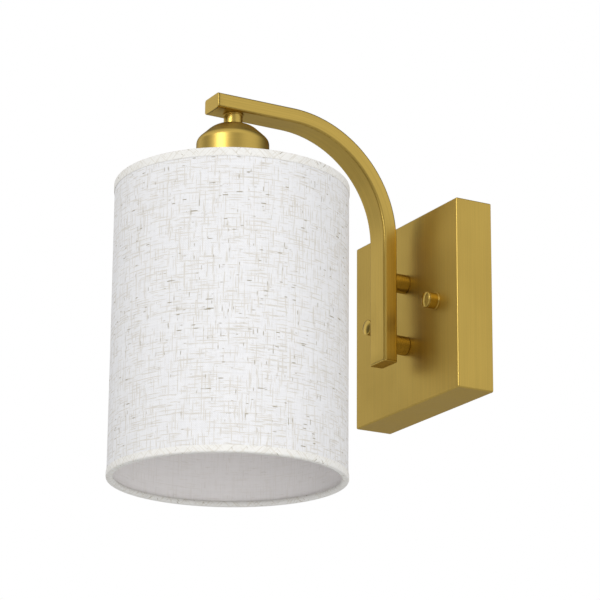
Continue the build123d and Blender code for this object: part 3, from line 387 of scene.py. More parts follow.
def more_rows(points, spacing, closed=True):
    """The same run of profile points with more between them, none further apart than the spacing."""
    runs = []
    for start, end in zip(points, np.roll(points, -1, axis=0) if closed else points[1:]):
        count = max(1, math.ceil(np.linalg.norm(end - start) / spacing))
        runs.append(start + (end - start) * np.linspace(0, 1, count + 1)[:-1, None])
    if not closed:
        runs.append(points[-1:])
    return np.concatenate(runs)


# ---------------------------------------------------------------- finishes

class Nodes:
    """A node tree with short calls to add and join its nodes."""

    def __init__(self, tree):
        self.tree = tree

    def add(self, kind, inputs=None, **settings):
        """A new node with its settings, and with plain values or other nodes' outputs on its inputs."""
        node = self.tree.nodes.new(kind)
        for key, value in settings.items():
            setattr(node, key, value)
        for key, value in (inputs or {}).items():
            self.put(value, node.inputs[key])
        return node

    def put(self, value, socket):
        if isinstance(value, bpy.types.NodeSocket):
            self.tree.links.new(value, socket)
        else:
            socket.default_value = value

    def math(self, operation, *values):
        return self.add("ShaderNodeMath", dict(enumerate(values)), operation=operation).outputs[0]

    def times(self, first, second):
        return self.math("MULTIPLY", first, second)

    def plus(self, first, second):
        return self.math("ADD", first, second)

    def dot(self, vector, direction):
        node = self.add("ShaderNodeVectorMath", {0: vector, 1: direction}, operation="DOT_PRODUCT")
        return node.outputs["Value"]

    def ramp(self, value, low, high, to_low=0.0, to_high=1.0):
        """A smooth change from to_low to to_high while the value goes from low to high."""
        node = self.add("ShaderNodeMapRange", {
            "Value": value, "From Min": low, "From Max": high, "To Min": to_low, "To Max": to_high,
        }, interpolation_type="SMOOTHSTEP")
        return node.outputs["Result"]

    def mix(self, part, first, second):
        """A mix of two colours, which are the node's inputs 6 and 7."""
        node = self.add("ShaderNodeMix", {0: part, 6: first, 7: second}, data_type="RGBA", clamp_factor=True)
        return node.outputs[2]

    def point(self, x, y, z):
        return self.add("ShaderNodeCombineXYZ", {"X": x, "Y": y, "Z": z}).outputs[0]

    def noise(self, vector, scale, detail, roughness=0.5):
        return self.add("ShaderNodeTexNoise", {
            "Vector": vector, "Scale": scale, "Detail": detail, "Roughness": roughness,
        }).outputs[0]

    def bump(self, height, distance):
        node = self.add("ShaderNodeBump", {"Height": height, "Distance": distance, "Strength": 1.0})
        return node.outputs[0]


VALUE, VECTOR = "NodeSocketFloat", "NodeSocketVector"


def group(name, inputs, outputs):
    """An empty shader node group with named sockets."""
    tree = bpy.data.node_groups.new(name, "ShaderNodeTree")
    for label, kind in inputs.items():
        tree.interface.new_socket(label, in_out="INPUT", socket_type=kind)
    for label, kind in outputs.items():
        tree.interface.new_socket(label, in_out="OUTPUT", socket_type=kind)
    nodes = Nodes(tree)
    return nodes, nodes.add("NodeGroupInput").outputs, nodes.add("NodeGroupOutput").inputs


def grain_group():
    """Fine parallel scratches: noise stretched by the Scale vector, a broad and a fine one.

    Tone is the broad streaks, Height the fine ones, and Haze slow patches of handling.
    """
    nodes, given, out = group(
        "Brushed grain", {"Vector": VECTOR, "Scale": VECTOR}, {"Tone": VALUE, "Height": VALUE, "Haze": VALUE},
    )
    factors = {0: given["Vector"], 1: given["Scale"]}
    stretched = nodes.add("ShaderNodeVectorMath", factors, operation="MULTIPLY").outputs[0]
    broad = nodes.noise(stretched, scale=0.35, detail=3.0, roughness=0.6)
    fine = nodes.noise(stretched, scale=1.0, detail=2.0, roughness=0.7)
    haze = nodes.noise(given["Vector"], scale=28.0, detail=2.0)
    nodes.put(nodes.ramp(broad, 0.3, 0.7), out["Tone"])
    nodes.put(fine, out["Height"])
    nodes.put(nodes.ramp(haze, 0.35, 0.68), out["Haze"])
    return nodes.tree


def weave_group():
    """Plain weave with uneven yarns, on a map in metres.

    Across and up count yarns. Each yarn has its own strip of noise, drawn out along it, so every
    mark follows a single yarn. Slub marks short thick places both ways, Thin long faint darker
    runs, Fleck specks, Tone each yarn's own shade, and Height the over and under with the slubs
    on top.
    """
    nodes, given, out = group(
        "Slub weave", {"Vector": VECTOR, "Pitch": VALUE},
        {"Slub": VALUE, "Thin": VALUE, "Fleck": VALUE, "Tone": VALUE, "Height": VALUE},
    )
    split = nodes.add("ShaderNodeSeparateXYZ", {"Vector": given["Vector"]}).outputs
    across, up = (nodes.math("DIVIDE", split[axis], given["Pitch"]) for axis in ("X", "Y"))
    column, row = nodes.math("FLOOR", across), nodes.math("FLOOR", up)
    strip_spacing = 3.17
    slub_stretch, thin_stretch, shade_stretch = 0.062, 0.032, 0.02
    weft_seed, warp_seed, thin_seed, shade_seed, speck_seed = 2.0, 111.0, 17.0, 31.0, 5.0
    warp_slubs, over_and_under = 0.8, 0.5

    def strand(along, number, seed):
        """Thick places, thin runs and shade of the yarns that run one way."""
        line = nodes.times(number, strip_spacing)

        def strip(stretch, shift, detail):
            place = nodes.point(nodes.times(along, stretch), line, seed + shift)
            return nodes.noise(place, 1.0, detail, 0.6)

        thick = nodes.ramp(strip(slub_stretch, 0.0, 1.0), 0.68, 0.76)
        thin = nodes.ramp(strip(thin_stretch, thin_seed, 2.0), 0.53, 0.65)
        return thick, thin, strip(shade_stretch, shade_seed, 1.0)

    weft, weft_thin, weft_shade = strand(across, row, weft_seed)
    warp, warp_thin, warp_shade = strand(up, column, warp_seed)
    slub = nodes.math("MAXIMUM", weft, nodes.times(warp, warp_slubs))
    speck = nodes.noise(nodes.point(across, up, speck_seed), 0.55, 1.0)
    waves = (nodes.math("SINE", nodes.times(count, math.pi)) for count in (across, up))
    bumps = nodes.times(nodes.times(*waves), over_and_under)
    shades = nodes.times(nodes.plus(weft_shade, warp_shade), 0.5)
    nodes.put(slub, out["Slub"])
    nodes.put(nodes.math("MAXIMUM", weft_thin, warp_thin), out["Thin"])
    nodes.put(nodes.ramp(speck, 0.76, 0.82), out["Fleck"])
    nodes.put(nodes.ramp(shades, 0.38, 0.62), out["Tone"])
    nodes.put(nodes.plus(bumps, slub), out["Height"])
    return nodes.tree


def placed_group(nodes, name, make, inputs):
    """Places a shared node group, which is made when it is first needed, and gives its outputs."""
    tree = bpy.data.node_groups.get(name) or make()
    return nodes.add("ShaderNodeGroup", inputs, node_tree=tree).outputs


def new_finish(name, **constants):
    """A material with one Principled shader, its constant values set on the shader itself."""
    material = bpy.data.materials.new(f"finish_{name}")
    material.use_nodes = True
    material.node_tree.nodes.clear()
    nodes = Nodes(material.node_tree)
    shader = nodes.add("ShaderNodeBsdfPrincipled")
    nodes.add("ShaderNodeOutputMaterial", {"Surface": shader.outputs[0]})
    for key, value in constants.items():
        shader.inputs[key.replace("_", " ")].default_value = value
    return material, nodes, shader.inputs


def rgba(values, level=1.0):
    """A colour property as a node colour, made lighter or darker by a level."""
    return (*(min(1.0, channel * level) for channel in values), 1.0)


def metal(name, base, source, scratches, rough, spread, relief, dark):
    """A brushed metal: streaks vary its colour a little, its roughness and its fine relief.

    The tint of its slanting gloss lies a third of the way from white to its own colour.
    """
    gloss_tint = rgba([(2 + part) / 3 for part in base])
    material, nodes, shader = new_finish(name, Metallic=1.0, Specular_Tint=gloss_tint)
    coordinates = nodes.add("ShaderNodeTexCoord").outputs[source]
    tone, height, haze = placed_group(
        nodes, "Brushed grain", grain_group, {"Vector": coordinates, "Scale": scratches},
    )
    nodes.put(nodes.mix(tone, rgba(base, dark), rgba(base)), shader["Base Color"])
    worn = nodes.plus(nodes.times(tone, spread), nodes.times(haze, spread))
    nodes.put(nodes.plus(worn, rough), shader["Roughness"])
    nodes.put(nodes.bump(height, relief), shader["Normal"])
    return material


def cloth(name, ground, slub, pitch, turn, marks, relief, rough):
    """Woven linen on the piece's own map, turned by an angle for tape cut on the bias.

    The marks say how strongly slubs, thin runs, flecks and the yarns' own shades show.
    """
    material, nodes, shader = new_finish(
        name, Specular_IOR_Level=0.25, Sheen_Weight=0.08, Sheen_Roughness=0.5,
    )
    coordinates = nodes.add("ShaderNodeTexCoord").outputs["UV"]
    turned_map = nodes.add(
        "ShaderNodeMapping", {"Vector": coordinates, "Rotation": (0.0, 0.0, turn)},
    ).outputs[0]
    thick, thin, fleck, tone, height = placed_group(
        nodes, "Slub weave", weave_group, {"Vector": turned_map, "Pitch": pitch},
    )
    thick_share, thin_share, fleck_share, tone_share = marks
    shade = rgba(ground)
    for mask, strength, hue in (
        (tone, tone_share, rgba(ground, 0.88)), (thin, thin_share, rgba(slub, 1.5)),
        (thick, thick_share, rgba(slub)), (fleck, fleck_share, rgba(slub, 0.5)),
    ):
        shade = nodes.mix(nodes.times(mask, strength), shade, hue)
    nodes.put(shade, shader["Base Color"])
    nodes.put(nodes.ramp(thick, 0.0, 1.0, rough, rough - 0.1), shader["Roughness"])
    nodes.put(nodes.bump(height, relief), shader["Normal"])
    return material


def moulded(name, base, rough, grain, relief, spread, dark, coat):
    """Moulded plastic, enamel or glass: fine orange peel and a slow change of tone and gloss."""
    material, nodes, shader = new_finish(name, Coat_Weight=coat)
    coordinates = nodes.add("ShaderNodeTexCoord").outputs["Object"]
    fine = nodes.noise(coordinates, scale=1.0 / grain, detail=3.0, roughness=0.6)
    slow = nodes.noise(coordinates, scale=60.0, detail=2.0)
    nodes.put(nodes.mix(nodes.ramp(slow, 0.3, 0.7), rgba(base, dark), rgba(base)), shader["Base Color"])
    nodes.put(nodes.ramp(slow, 0.3, 0.7, rough, rough + spread), shader["Roughness"])
    nodes.put(nodes.bump(fine, relief), shader["Normal"])
    return material


def make_finishes():
    """Every finish of the light, by name."""
    hue, yarn = colours(), sizes().yarn
    brass, bias = hue.brass, math.radians(45)
    finishes = {}
    # colour, map, scratches per metre each way, roughness, its spread, relief, dark streaks
    for name, *values in (
        ("plate_brass", brass, "Object", (3600, 3600, 32), 0.37, 0.05, 0.005 * MM, 0.90),
        ("arm_brass", brass, "UV", (3600, 40, 1), 0.28, 0.05, 0.006 * MM, 0.86),
        ("spun_brass", brass, "UV", (36, 3800, 1), 0.33, 0.03, 0.0015 * MM, 0.94),
        ("nut_brass", brass, "UV", (60, 5200, 1), 0.17, 0.03, 0.001 * MM, 0.94),
        ("turned_brass", brass, "UV", (60, 5200, 1), 0.26, 0.04, 0.002 * MM, 0.92),
        ("bare_brass", hue.bare_brass, "Object", (700, 700, 700), 0.25, 0.08, 0.004 * MM, 0.86),
        ("zinc", hue.zinc, "Object", (420, 420, 420), 0.34, 0.10, 0.008 * MM, 0.80),
        ("lamp_metal", hue.nickel, "UV", (90, 1600, 1), 0.22, 0.06, 0.004 * MM, 0.86),
    ):
        finishes[name] = metal(name, *values)
    # ground, turn of the weave, shares of slubs, thin runs, flecks and shades, relief, roughness
    for name, ground, turn, marks, relief, rough in (
        ("linen", hue.linen, 0.0, (0.90, 0.39, 0.6, 0.45), 0.09 * MM, 0.9),
        ("bias_tape", hue.tape, bias, (0.85, 0.28, 0.5, 0.3), 0.08 * MM, 0.9),
        ("liner", hue.liner, 0.0, (0.16, 0.10, 0.1, 0.3), 0.01 * MM, 0.6),
    ):
        finishes[name] = cloth(name, ground, hue.slub, yarn, turn, marks, relief, rough)
    # colour, roughness, grain, relief, spread of the roughness, dark patches, coat
    for name, *values in (
        ("enamel", hue.enamel, 0.30, 0.8 * MM, 0.01 * MM, 0.06, 0.97, 0.3),
        ("socket_plastic", hue.socket, 0.30, 0.6 * MM, 0.01 * MM, 0.12, 0.94, 0.0),
        ("ring_plastic", hue.ring, 0.38, 0.6 * MM, 0.02 * MM, 0.12, 0.94, 0.0),
        ("opal_glass", hue.opal, 0.34, 1.0 * MM, 0.002 * MM, 0.06, 0.99, 0.4),
        ("insulator", hue.cement, 0.12, 1.5 * MM, 0.02 * MM, 0.05, 0.94, 0.5),
        ("live_lead", hue.live, 0.38, 1.2 * MM, 0.02 * MM, 0.06, 0.94, 0.0),
        ("neutral_lead", hue.neutral, 0.38, 1.2 * MM, 0.02 * MM, 0.06, 0.94, 0.0),
        ("ground_lead", hue.ground, 0.38, 1.2 * MM, 0.02 * MM, 0.06, 0.94, 0.0),
        ("connector_plastic", hue.connector, 0.33, 0.9 * MM, 0.02 * MM, 0.06, 0.94, 0.0),
        ("green_paint", hue.ground, 0.28, 1.2 * MM, 0.03 * MM, 0.06, 0.94, 0.4),
    ):
        finishes[name] = moulded(name, *values)
    finishes["floor"] = new_finish("floor", Base_Color=rgba(hue.floor), Roughness=0.9)[0]
    return finishes


FINISHES = {}


def finish(name):
    """A finish by name; all are made when the first is asked for."""
    if not FINISHES:
        FINISHES.update(make_finishes())
    return FINISHES[name]


def dress(material, *nodes):
    """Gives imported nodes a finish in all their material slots."""
    for name in nodes:
        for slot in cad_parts[name].material_slots:
            slot.material = finish(material)


# ---------------------------------------------------------------- back plate and standoffs

def build_back_plate():
    """The pan: rounded squares from the middle of its front, over its edge to the wall and back inside."""
    size = sizes()
    low, high = box("backplate")
    half, depth = (high[0] - low[0]) / 2, high[1] - low[1]
    wall, edge = size.plate_wall, size.plate_edge
    lip, fillet = mm(0.25, 0.8)
    inner, back = half - wall, depth - wall
    outside = np.concatenate([
        [[half * part, depth] for part in (0, 0.25, 0.5, 0.75, 0.9)],
        arc((half - edge, depth - edge), edge, QUARTER_TURN, 0, 8),
        [[half, depth * 0.6], [half, depth * 0.2]],
        arc((half - lip, lip), lip, 0, -QUARTER_TURN, 3),
    ])
    inside = np.concatenate([
        arc((inner + lip, lip), lip, -QUARTER_TURN, -HALF_TURN, 3),
        [[inner, depth * 0.3], [inner, back - fillet]],
        arc((inner - fillet, back - fillet), fillet, 0, QUARTER_TURN, 4),
        [[half * part, back] for part in (0.7, 0.35, 0)],
    ])
    profile = np.concatenate([outside, inside])
    corner = np.concatenate([
        np.clip(edge - (half - outside[:, 0]), 0, edge), np.where(inside[:, 0] >= inner - lip, lip, 0.0),
    ])
    levels = np.stack([profile[:, 0], profile[:, 0], corner, profile[:, 1]], axis=1)
    slab("back_plate", levels, middle("backplate") * ON_WALL, "wall_lamp", "plate_brass",
         ("backplate",), way=facing_out, edge_steps=12)


def build_standoffs():
    """Two turned spacers: a ring with eased edges at its rim, its axis along -Y."""
    ease = 0.5 * MM
    for level, bore in (("upper", sizes().wire_hole), ("lower", sizes().screw_hole)):
        node = f"standoff_{level}"
        radius, start, end = lying(node)
        ring = ring_outline(bore, radius, start, end, (0, ease, ease, 0))
        turned(f"spacer_{level}", ring, middle(node) * ON_WALL, "wall_lamp",
               "turned_brass", (node,), way=facing_out)


def build_cap_nuts():
    """The closed nuts and their base rings: profiles turned about -Y, with groove and crown.

    The crown is a part of a sphere of radius (r^2 + c^2) / 2c, c being its height on radius r.
    """
    size = sizes()
    ease, base_ease, fine_ease, crown, groove, head_length = mm(0.12, 0.35, 0.1, 0.9, 0.4, 1.6)
    land, crown_inset = mm(0.2, 0.25)
    for side in ("left", "right"):
        washer, nut = f"cap_nut_washer_{side}", f"cap_nut_{side}"
        place = middle(washer) * ON_WALL
        radius, start, end = lying(washer)
        ring = ring_outline(size.stud_hole, radius, start, end, (0, fine_ease, base_ease, 0), 5)
        turned(f"base_ring_{side}", ring, place, f"nut_washer_{side}",
               "turned_brass", (washer,), way=facing_out)
        radius, start, end = lying(nut)
        start += size.contact
        head, shoulder, waist = end - head_length, end - crown, radius - groove
        dome_radius = (radius ** 2 + crown ** 2) / (2 * crown)
        reach = math.asin((radius - crown_inset) / dome_radius)
        dome = arc((0, end - dome_radius), dome_radius, QUARTER_TURN - reach, QUARTER_TURN, 14)
        body = rounded(
            [(0, start), (radius, start), (radius, head - groove), (waist, head - groove),
             (waist, head), (radius, head), (radius, shoulder - land), (0, shoulder)],
            (0, ease, ease, fine_ease, fine_ease, ease, 0, 0), 4,
        )
        turned(f"nut_{side}_round", np.concatenate([body[:-1], dome]), place, f"nut_{side}",
               "nut_brass", (nut,), closed=False, way=facing_out)


# ---------------------------------------------------------------- arm

def arm_outline(inset, corner):
    """The arm's rounded rectangle across its run, set inwards by the inset."""
    low, high = box("arm_end_cap")
    half, thick = (high[0] - low[0]) / 2 - inset, (high[2] - low[2]) / 2 - inset
    return rounded([(half, -thick), (half, thick), (-half, thick), (-half, -thick)], (corner,) * 4)


def build_arm():
    """The bent tube: straight up the leg, a quarter turn of the bend radius, straight out.

    In the bend the station is centre + radius n with n = (0, cos a, sin a), a from 0 to 90
    degrees, and n is also the outward direction, so the flat faces follow the bend.
    """
    size = sizes()
    leg_rows, bend_rows, top_rows = 12, 48, 10
    low, high = box("arm")
    cap_low, cap_high = box("arm_end_cap")
    radius = size.arm_bend - (cap_high[2] - cap_low[2]) / 2
    centre = np.array([0.0, high[1] - size.arm_bend, high[2] - size.arm_bend])
    a = np.linspace(0, QUARTER_TURN, bend_rows + 1)
    turn = np.stack([0 * a, np.cos(a), np.sin(a)], axis=1)
    leg = np.linspace(low[2], centre[2], leg_rows + 1)[:-1]
    leg = np.stack([0 * leg, 0 * leg + centre[1] + radius, leg], axis=1)
    top = np.linspace(centre[1], low[1], top_rows + 1)[1:]
    top = np.stack([0 * top, top, 0 * top + centre[2] + radius], axis=1)
    path = np.concatenate([leg, centre + radius * turn, top])
    outward = np.concatenate([np.repeat(turn[:1], len(leg), 0), turn, np.repeat(turn[-1:], len(top), 0)])
    outer, inner = arm_outline(0, size.arm_corner), arm_outline(size.arm_wall, 0.6 * MM)
    tube_along("arched_arm", path, outward, outer, inner, "wall_lamp", "arm_brass", ("arm",))


def build_arm_caps():
    """The two closing plates: the arm's outline with a softly rounded rim on the outer side.

    The front one is built along -Y and the foot one along -Z, so its rim lies below its start.
    """
    size = sizes()
    corner, core = size.arm_corner, 0.6
    for node, name, way, depth_axis in (
        ("arm_end_cap", "front_cap", facing_out, 2), ("arm_foot_cap", "foot_cap", upright, 1),
    ):
        low, high = box(node)
        w, d = (high[0] - low[0]) / 2, (high[depth_axis] - low[depth_axis]) / 2
        if way is facing_out:
            start, end, edge, place = -high[1], -low[1], size.cap_edge, middle(node) * ON_WALL
        else:
            start, end, edge, place = high[2], low[2], -size.cap_edge, middle(node) * ON_PLAN
        a = np.linspace(0, QUARTER_TURN, 6)
        inset = size.cap_edge * (1 - np.cos(a))
        rim = np.stack([w - inset, d - inset, corner - inset, end - edge + edge * np.sin(a)], axis=1)
        levels = np.concatenate([
            [[0, 0, 0, start], [w * core, d * core, 0, start], [w, d, corner, start]], rim,
            [[w * core, d * core, 0, end], [0, 0, 0, end]],
        ])
        slab(name, levels, place, "wall_lamp", "turned_brass", (node,), way=way)


# ---------------------------------------------------------------- neck and cup

def cup_line(inset):
    """The cup's outline from its top flat to its rim: arc, cone, shoulder arc, cylinder."""
    size = sizes()
    radius, bottom, top = standing("cup")
    radius, top = radius - inset, top - inset
    dome, shoulder, slope = size.cup_dome - inset, size.cup_shoulder - inset, size.cup_slope
    upper = arc((size.cup_flat, top - dome), dome, QUARTER_TURN, QUARTER_TURN - slope, 18)
    shoulder_x = radius - shoulder
    start_x = shoulder_x + shoulder * math.sin(slope)
    start_z = upper[-1, 1] - (start_x - upper[-1, 0]) * math.tan(slope)
    lower = arc((shoulder_x, start_z - shoulder * math.cos(slope)), shoulder, QUARTER_TURN - slope, 0, 12)
    cone = upper[-1] + (lower[0] - upper[-1]) * np.array([[1 / 3], [2 / 3]])
    wall = np.linspace(lower[-1, 1], bottom + CUP_LIP, 8)[1:]
    return np.concatenate([upper, cone, lower, np.stack([0 * wall + radius, wall], axis=1)])


def build_neck_and_cup():
    """The collar and the spun cup, both closed profiles turned about the shade's axis."""
    size, place = sizes(), axis_of("cup")
    hole = size.wire_hole
    rim, bottom, top = standing("neck_collar")
    step, flange, ease = mm(0.5, 0.9, 0.25)
    radius, ledge = rim - step, top - flange
    collar = rounded(
        [(hole, bottom), (radius, bottom), (radius, ledge), (rim, ledge), (rim, top), (hole, top)],
        (0, ease, 0.15 * MM, ease, 0.2 * MM, 0), 4,
    )
    turned("collar", collar, place, "wall_lamp", "turned_brass", ("neck_collar",))
    outer, inner = cup_line(0), cup_line(size.cup_wall)
    lip = arc(((outer[-1, 0] + inner[-1, 0]) / 2, outer[-1, 1]), CUP_LIP, 0, -HALF_TURN, 8)
    lip[:, 0] += np.sign(lip[:, 0] - lip[:, 0].mean()) * (size.cup_wall / 2 - CUP_LIP)
    opening = np.array([[hole, inner[0, 1]], [hole, outer[0, 1]]])
    profile = np.concatenate([outer, lip, inner[::-1], opening])
    turned("spun_cup", profile, place, "wall_lamp", "spun_brass", ("cup",), sides=160)


# ---------------------------------------------------------------- socket and shade clamp

def thread(pitch, depth, low, high):
    """A relief that cuts a right-hand thread: r - depth (1 - cos(turns)) / 2, fading at both ends.

    The turns are 2 pi h / pitch less the angle, which a screw motion leaves as it is.
    """
    run_out = 1.5 * MM

    def relief(angle, radius, height):
        wave = (1 - np.cos(FULL_TURN * height / pitch - angle)) / 2
        return radius - depth * wave * between(height, low, high, run_out)
    return relief


def beyond(limit, relief):
    """A relief kept to the places of a profile whose radius is over a limit."""
    return lambda angle, radius, height: np.where(radius > limit, relief(angle, radius, height), radius)


def build_socket_cap():
    """The cap over the socket: a neck on a cone on a skirt, hollow below."""
    skirt, bottom, top = standing("socket_cap")
    bore, neck, neck_length, skirt_height, wall = mm(5.0, 8.0, 5.5, 5.0, 2.0)
    hollow_reach, hollow_drop, hollow_height = mm(6.0, 7.0, 4.0)
    cap = rounded(
        [(bore, top), (neck, top), (neck, top - neck_length), (skirt, bottom + skirt_height),
         (skirt, bottom), (skirt - wall, bottom), (skirt - wall, bottom + hollow_height),
         (hollow_reach, top - hollow_drop), (bore, top - hollow_drop)],
        mm(0, 0.6, 0.6, 1.2, 0.3, 0.3, 0.6, 0.3, 0), 5,
    )
    turned("socket_cap_moulded", cap, axis_of("socket_body"), "wall_lamp",
           "socket_plastic", ("socket_cap",))


def build_socket():
    """The socket's body with its outer thread and the lamp's well, and the brass sleeve in it."""
    size, place = sizes(), axis_of("socket_body")
    bottom, top = standing("socket_body")[1:]
    cup_radius, cup_bottom = standing("cup")[:2]
    body, screw, mouth, well = mm(19.0, 19.75, 17.3, 14.1)
    flange_height, shelf_height, roof_height, cup_gap, seat_gap = mm(2.5, 8.0, 32.0, 0.4, 0.3)
    flange, seat = cup_radius - size.cup_wall - cup_gap, cup_bottom - seat_gap
    shoulder, shelf, roof = seat + flange_height, bottom + shelf_height, bottom + roof_height
    core = rounded(
        [(0.0, top), (body, top), (body, shoulder), (flange, shoulder), (flange, seat), (screw, seat),
         (screw, bottom), (mouth, bottom), (mouth, shelf), (well, shelf), (well, roof), (0.0, roof)],
        mm(0, 0.3, 0.3, 0.3, 0.3, 0, 0.5, 0.4, 0.4, 0.2, 0.2, 0), 4,
    )
    thread_depth, thread_end = mm(0.75, 1.0)
    cut = thread(size.ring_pitch, thread_depth, bottom + thread_end, seat - thread_end)
    turned("socket_core", more_rows(core, 0.4 * MM, closed=False), place, "wall_lamp",
           "socket_plastic", ("socket_body",), closed=False, sides=120, relief=beyond(screw - 0.05 * MM, cut))
    radius, bottom, top = standing("socket_shell")
    outer, sheet, ease, depth = radius - 0.05 * MM, *mm(0.4, 0.1, 0.42)
    sleeve = ring_outline(outer - sheet, outer, bottom, top, (ease,) * 4, 2)
    turned("screw_sleeve", more_rows(sleeve, 0.35 * MM), place, "wall_lamp", "bare_brass",
           ("socket_shell",), relief=thread(size.lamp_pitch, depth, bottom, top))
    dress("bare_brass", "socket_contact", "socket_terminal_screws")


def build_shade_clamp():
    """The washer and the screw ring. The ring's rim is cut by even grips, as soft notches.

    Where the height is under the lip, the outer radius loses the grip depth in a notch that is
    a clipped cosine of the angle times the number of grips.
    """
    size, place = sizes(), axis_of("lock_ring")
    washer_bore, washer_ease, ring_bore, lip_height, soft_edge, wall, depth = mm(
        20.05, 0.15, 19.8, 6.0, 0.3, 2.5, 1.0,
    )
    notch_start, notch_slope = -0.15, 0.45
    rim, bottom, top = standing("ring_washer")
    washer = ring_outline(washer_bore, rim, bottom, top, (washer_ease,) * 4, 3)
    turned("clamp_washer", washer, place, "ring_washer", "zinc", ("ring_washer",), sides=120)
    rim, bottom, top = standing("lock_ring")
    ring = ring_outline(ring_bore, rim, bottom, top - size.contact, mm(0.4, 0.9, 0.6, 0.3), 5)
    lip = bottom + lip_height

    def grips(angle, radius, height):
        notch = share(np.cos(angle * size.grips) - notch_start, notch_slope)
        under = share(lip - height, soft_edge)
        outer = share(radius - (rim - wall), depth)
        return radius - depth * notch * under * outer

    turned("screw_ring", more_rows(ring, 0.5 * MM), place, "lock_ring", "ring_plastic",
           ("lock_ring",), sides=480, relief=grips)


# ---------------------------------------------------------------- shade

def build_spoke(number, start, end, level, place):
    """A spoke: a round bar pressed flatter where it is welded to the hub, its ends drawn to a point.

    At the way s along the spoke the section is (cos a / sqrt(p), p sin a), p going from the
    pressed share at the hub to 1.
    """
    size, turn = sizes(), math.radians(120 * number - 90)
    sides, pressed, press_length, point = 20, 0.62, 5 * MM, 1e-5
    s = np.linspace(start, end, 25)
    press = pressed + (1 - pressed) * share(s - start - SPOKE_OVERLAP, press_length)
    a = np.arange(sides) * FULL_TURN / sides
    section = np.stack([np.cos(a) / press[:, None] ** 0.5, np.sin(a) * press[:, None]], axis=-1)
    section *= size.spoke / 2
    section[[0, -1]] *= point
    out = np.array([math.cos(turn), math.sin(turn), 0])
    over = np.array([-math.sin(turn), math.cos(turn), 0])
    above = np.array([0, 0, 1.0])
    points = s[:, None, None] * out + section[..., :1] * over + section[..., 1:] * above + above * level
    uv = laid_out(s, np.arange(sides + 1) * size.spoke * math.pi / sides)
    piece(f"shade_spoke_{number + 1}", points + place, uv, (False, True), "shade", "enamel")


def build_shade_frame():
    """Hub, three spokes and top ring of welded wire, and the ring in the bottom edge."""
    size, place = sizes(), axis_of("shade_spider")
    radius, bottom, top = standing("shade_spider")
    ring, level = radius - size.wire / 2, (bottom + top) / 2
    bore, hub, half, ease, outer_ease = mm(20.25, 26.0, 0.75, 0.25, 0.4)
    disc = ring_outline(bore, hub, level - half, level + half, (ease, outer_ease, outer_ease, ease), 4)
    turned("shade_hub", disc, place, "shade", "enamel", ("shade_spider",), sides=160)
    wire_loop("shade_top_wire", ring, level, place)
    for number in range(3):
        build_spoke(number, hub - SPOKE_OVERLAP, ring, level, place)
    radius, bottom, top = standing("shade_bottom_ring")
    wire_loop("shade_bottom_wire", radius - size.wire / 2, (bottom + top) / 2, place, ("shade_bottom_ring",))


def ripple(angle, height, seed, size):
    """A slow unevenness: a sum of five sines of the angle and the height, at most the size."""
    waves, steepest = (2, 3, 5, 9, 14), 30
    draws = np.random.default_rng(seed)
    total = 0
    for turns in waves:
        phase, rise = draws.uniform(0, FULL_TURN), draws.uniform(-steepest, steepest)
        total = total + np.sin(turns * angle + rise * height + phase) / turns
    return size * total / sum(1 / turns for turns in waves)


def skin(name, outer, bottom, top, relief, slot, material, replaces, sides, rows):
    """A closed thin drum, up its outside and down its inside."""
    up, down = np.linspace(bottom, top, rows), np.linspace(top, bottom, rows)
    profile = np.concatenate([
        np.stack([0 * up + outer, up], axis=1),
        np.stack([0 * down + outer - sizes().skin, down], axis=1),
    ])
    points, uv = turned_grid(profile, True, sides, relief)
    return piece(name, points + axis_of("shade_liner"), uv, (True, True), "shade", material, replaces)


def build_shade_skins():
    """The cloth, lapped at the wall side, and the liner inside it.

    The cloth's outer radius is its own plus a slow ripple plus the lap: a step of the seam's
    height where the way round from the wall side is under half the seam's width.
    """
    size = sizes()
    liner, liner_bottom, liner_top = standing("shade_liner")
    outer = liner + LAYER_GAP + size.skin
    low, high = box("shade_fabric")
    trim_top, trim_bottom = box("shade_top_trim")[0][2], box("shade_bottom_trim")[1][2]
    lap_edge, trim_edge, calm_edge, unevenness, seed = *mm(0.45, 0.4, 6, 0.10), 7

    def lapped(angle, radius, height):
        way = (angle - QUARTER_TURN + HALF_TURN) % FULL_TURN - HALF_TURN
        over = share(size.seam_width / 2 + lap_edge - np.abs(way) * outer, lap_edge)
        over = over * over * (3 - 2 * over) * between(height, trim_bottom, trim_top, trim_edge)
        slow = ripple(angle, height, seed, unevenness) * between(height, trim_bottom, trim_top, calm_edge)
        return np.where(radius > outer - size.skin / 2, radius + size.seam_step * over + slow, radius)

    drum = skin("shade_cloth", outer, low[2], high[2], lapped, "linen", "linen", ("shade_fabric",), 720, 56)
    skin("shade_lining", liner, liner_bottom, liner_top, None, "liner", "liner", ("shade_liner",), 288, 24)


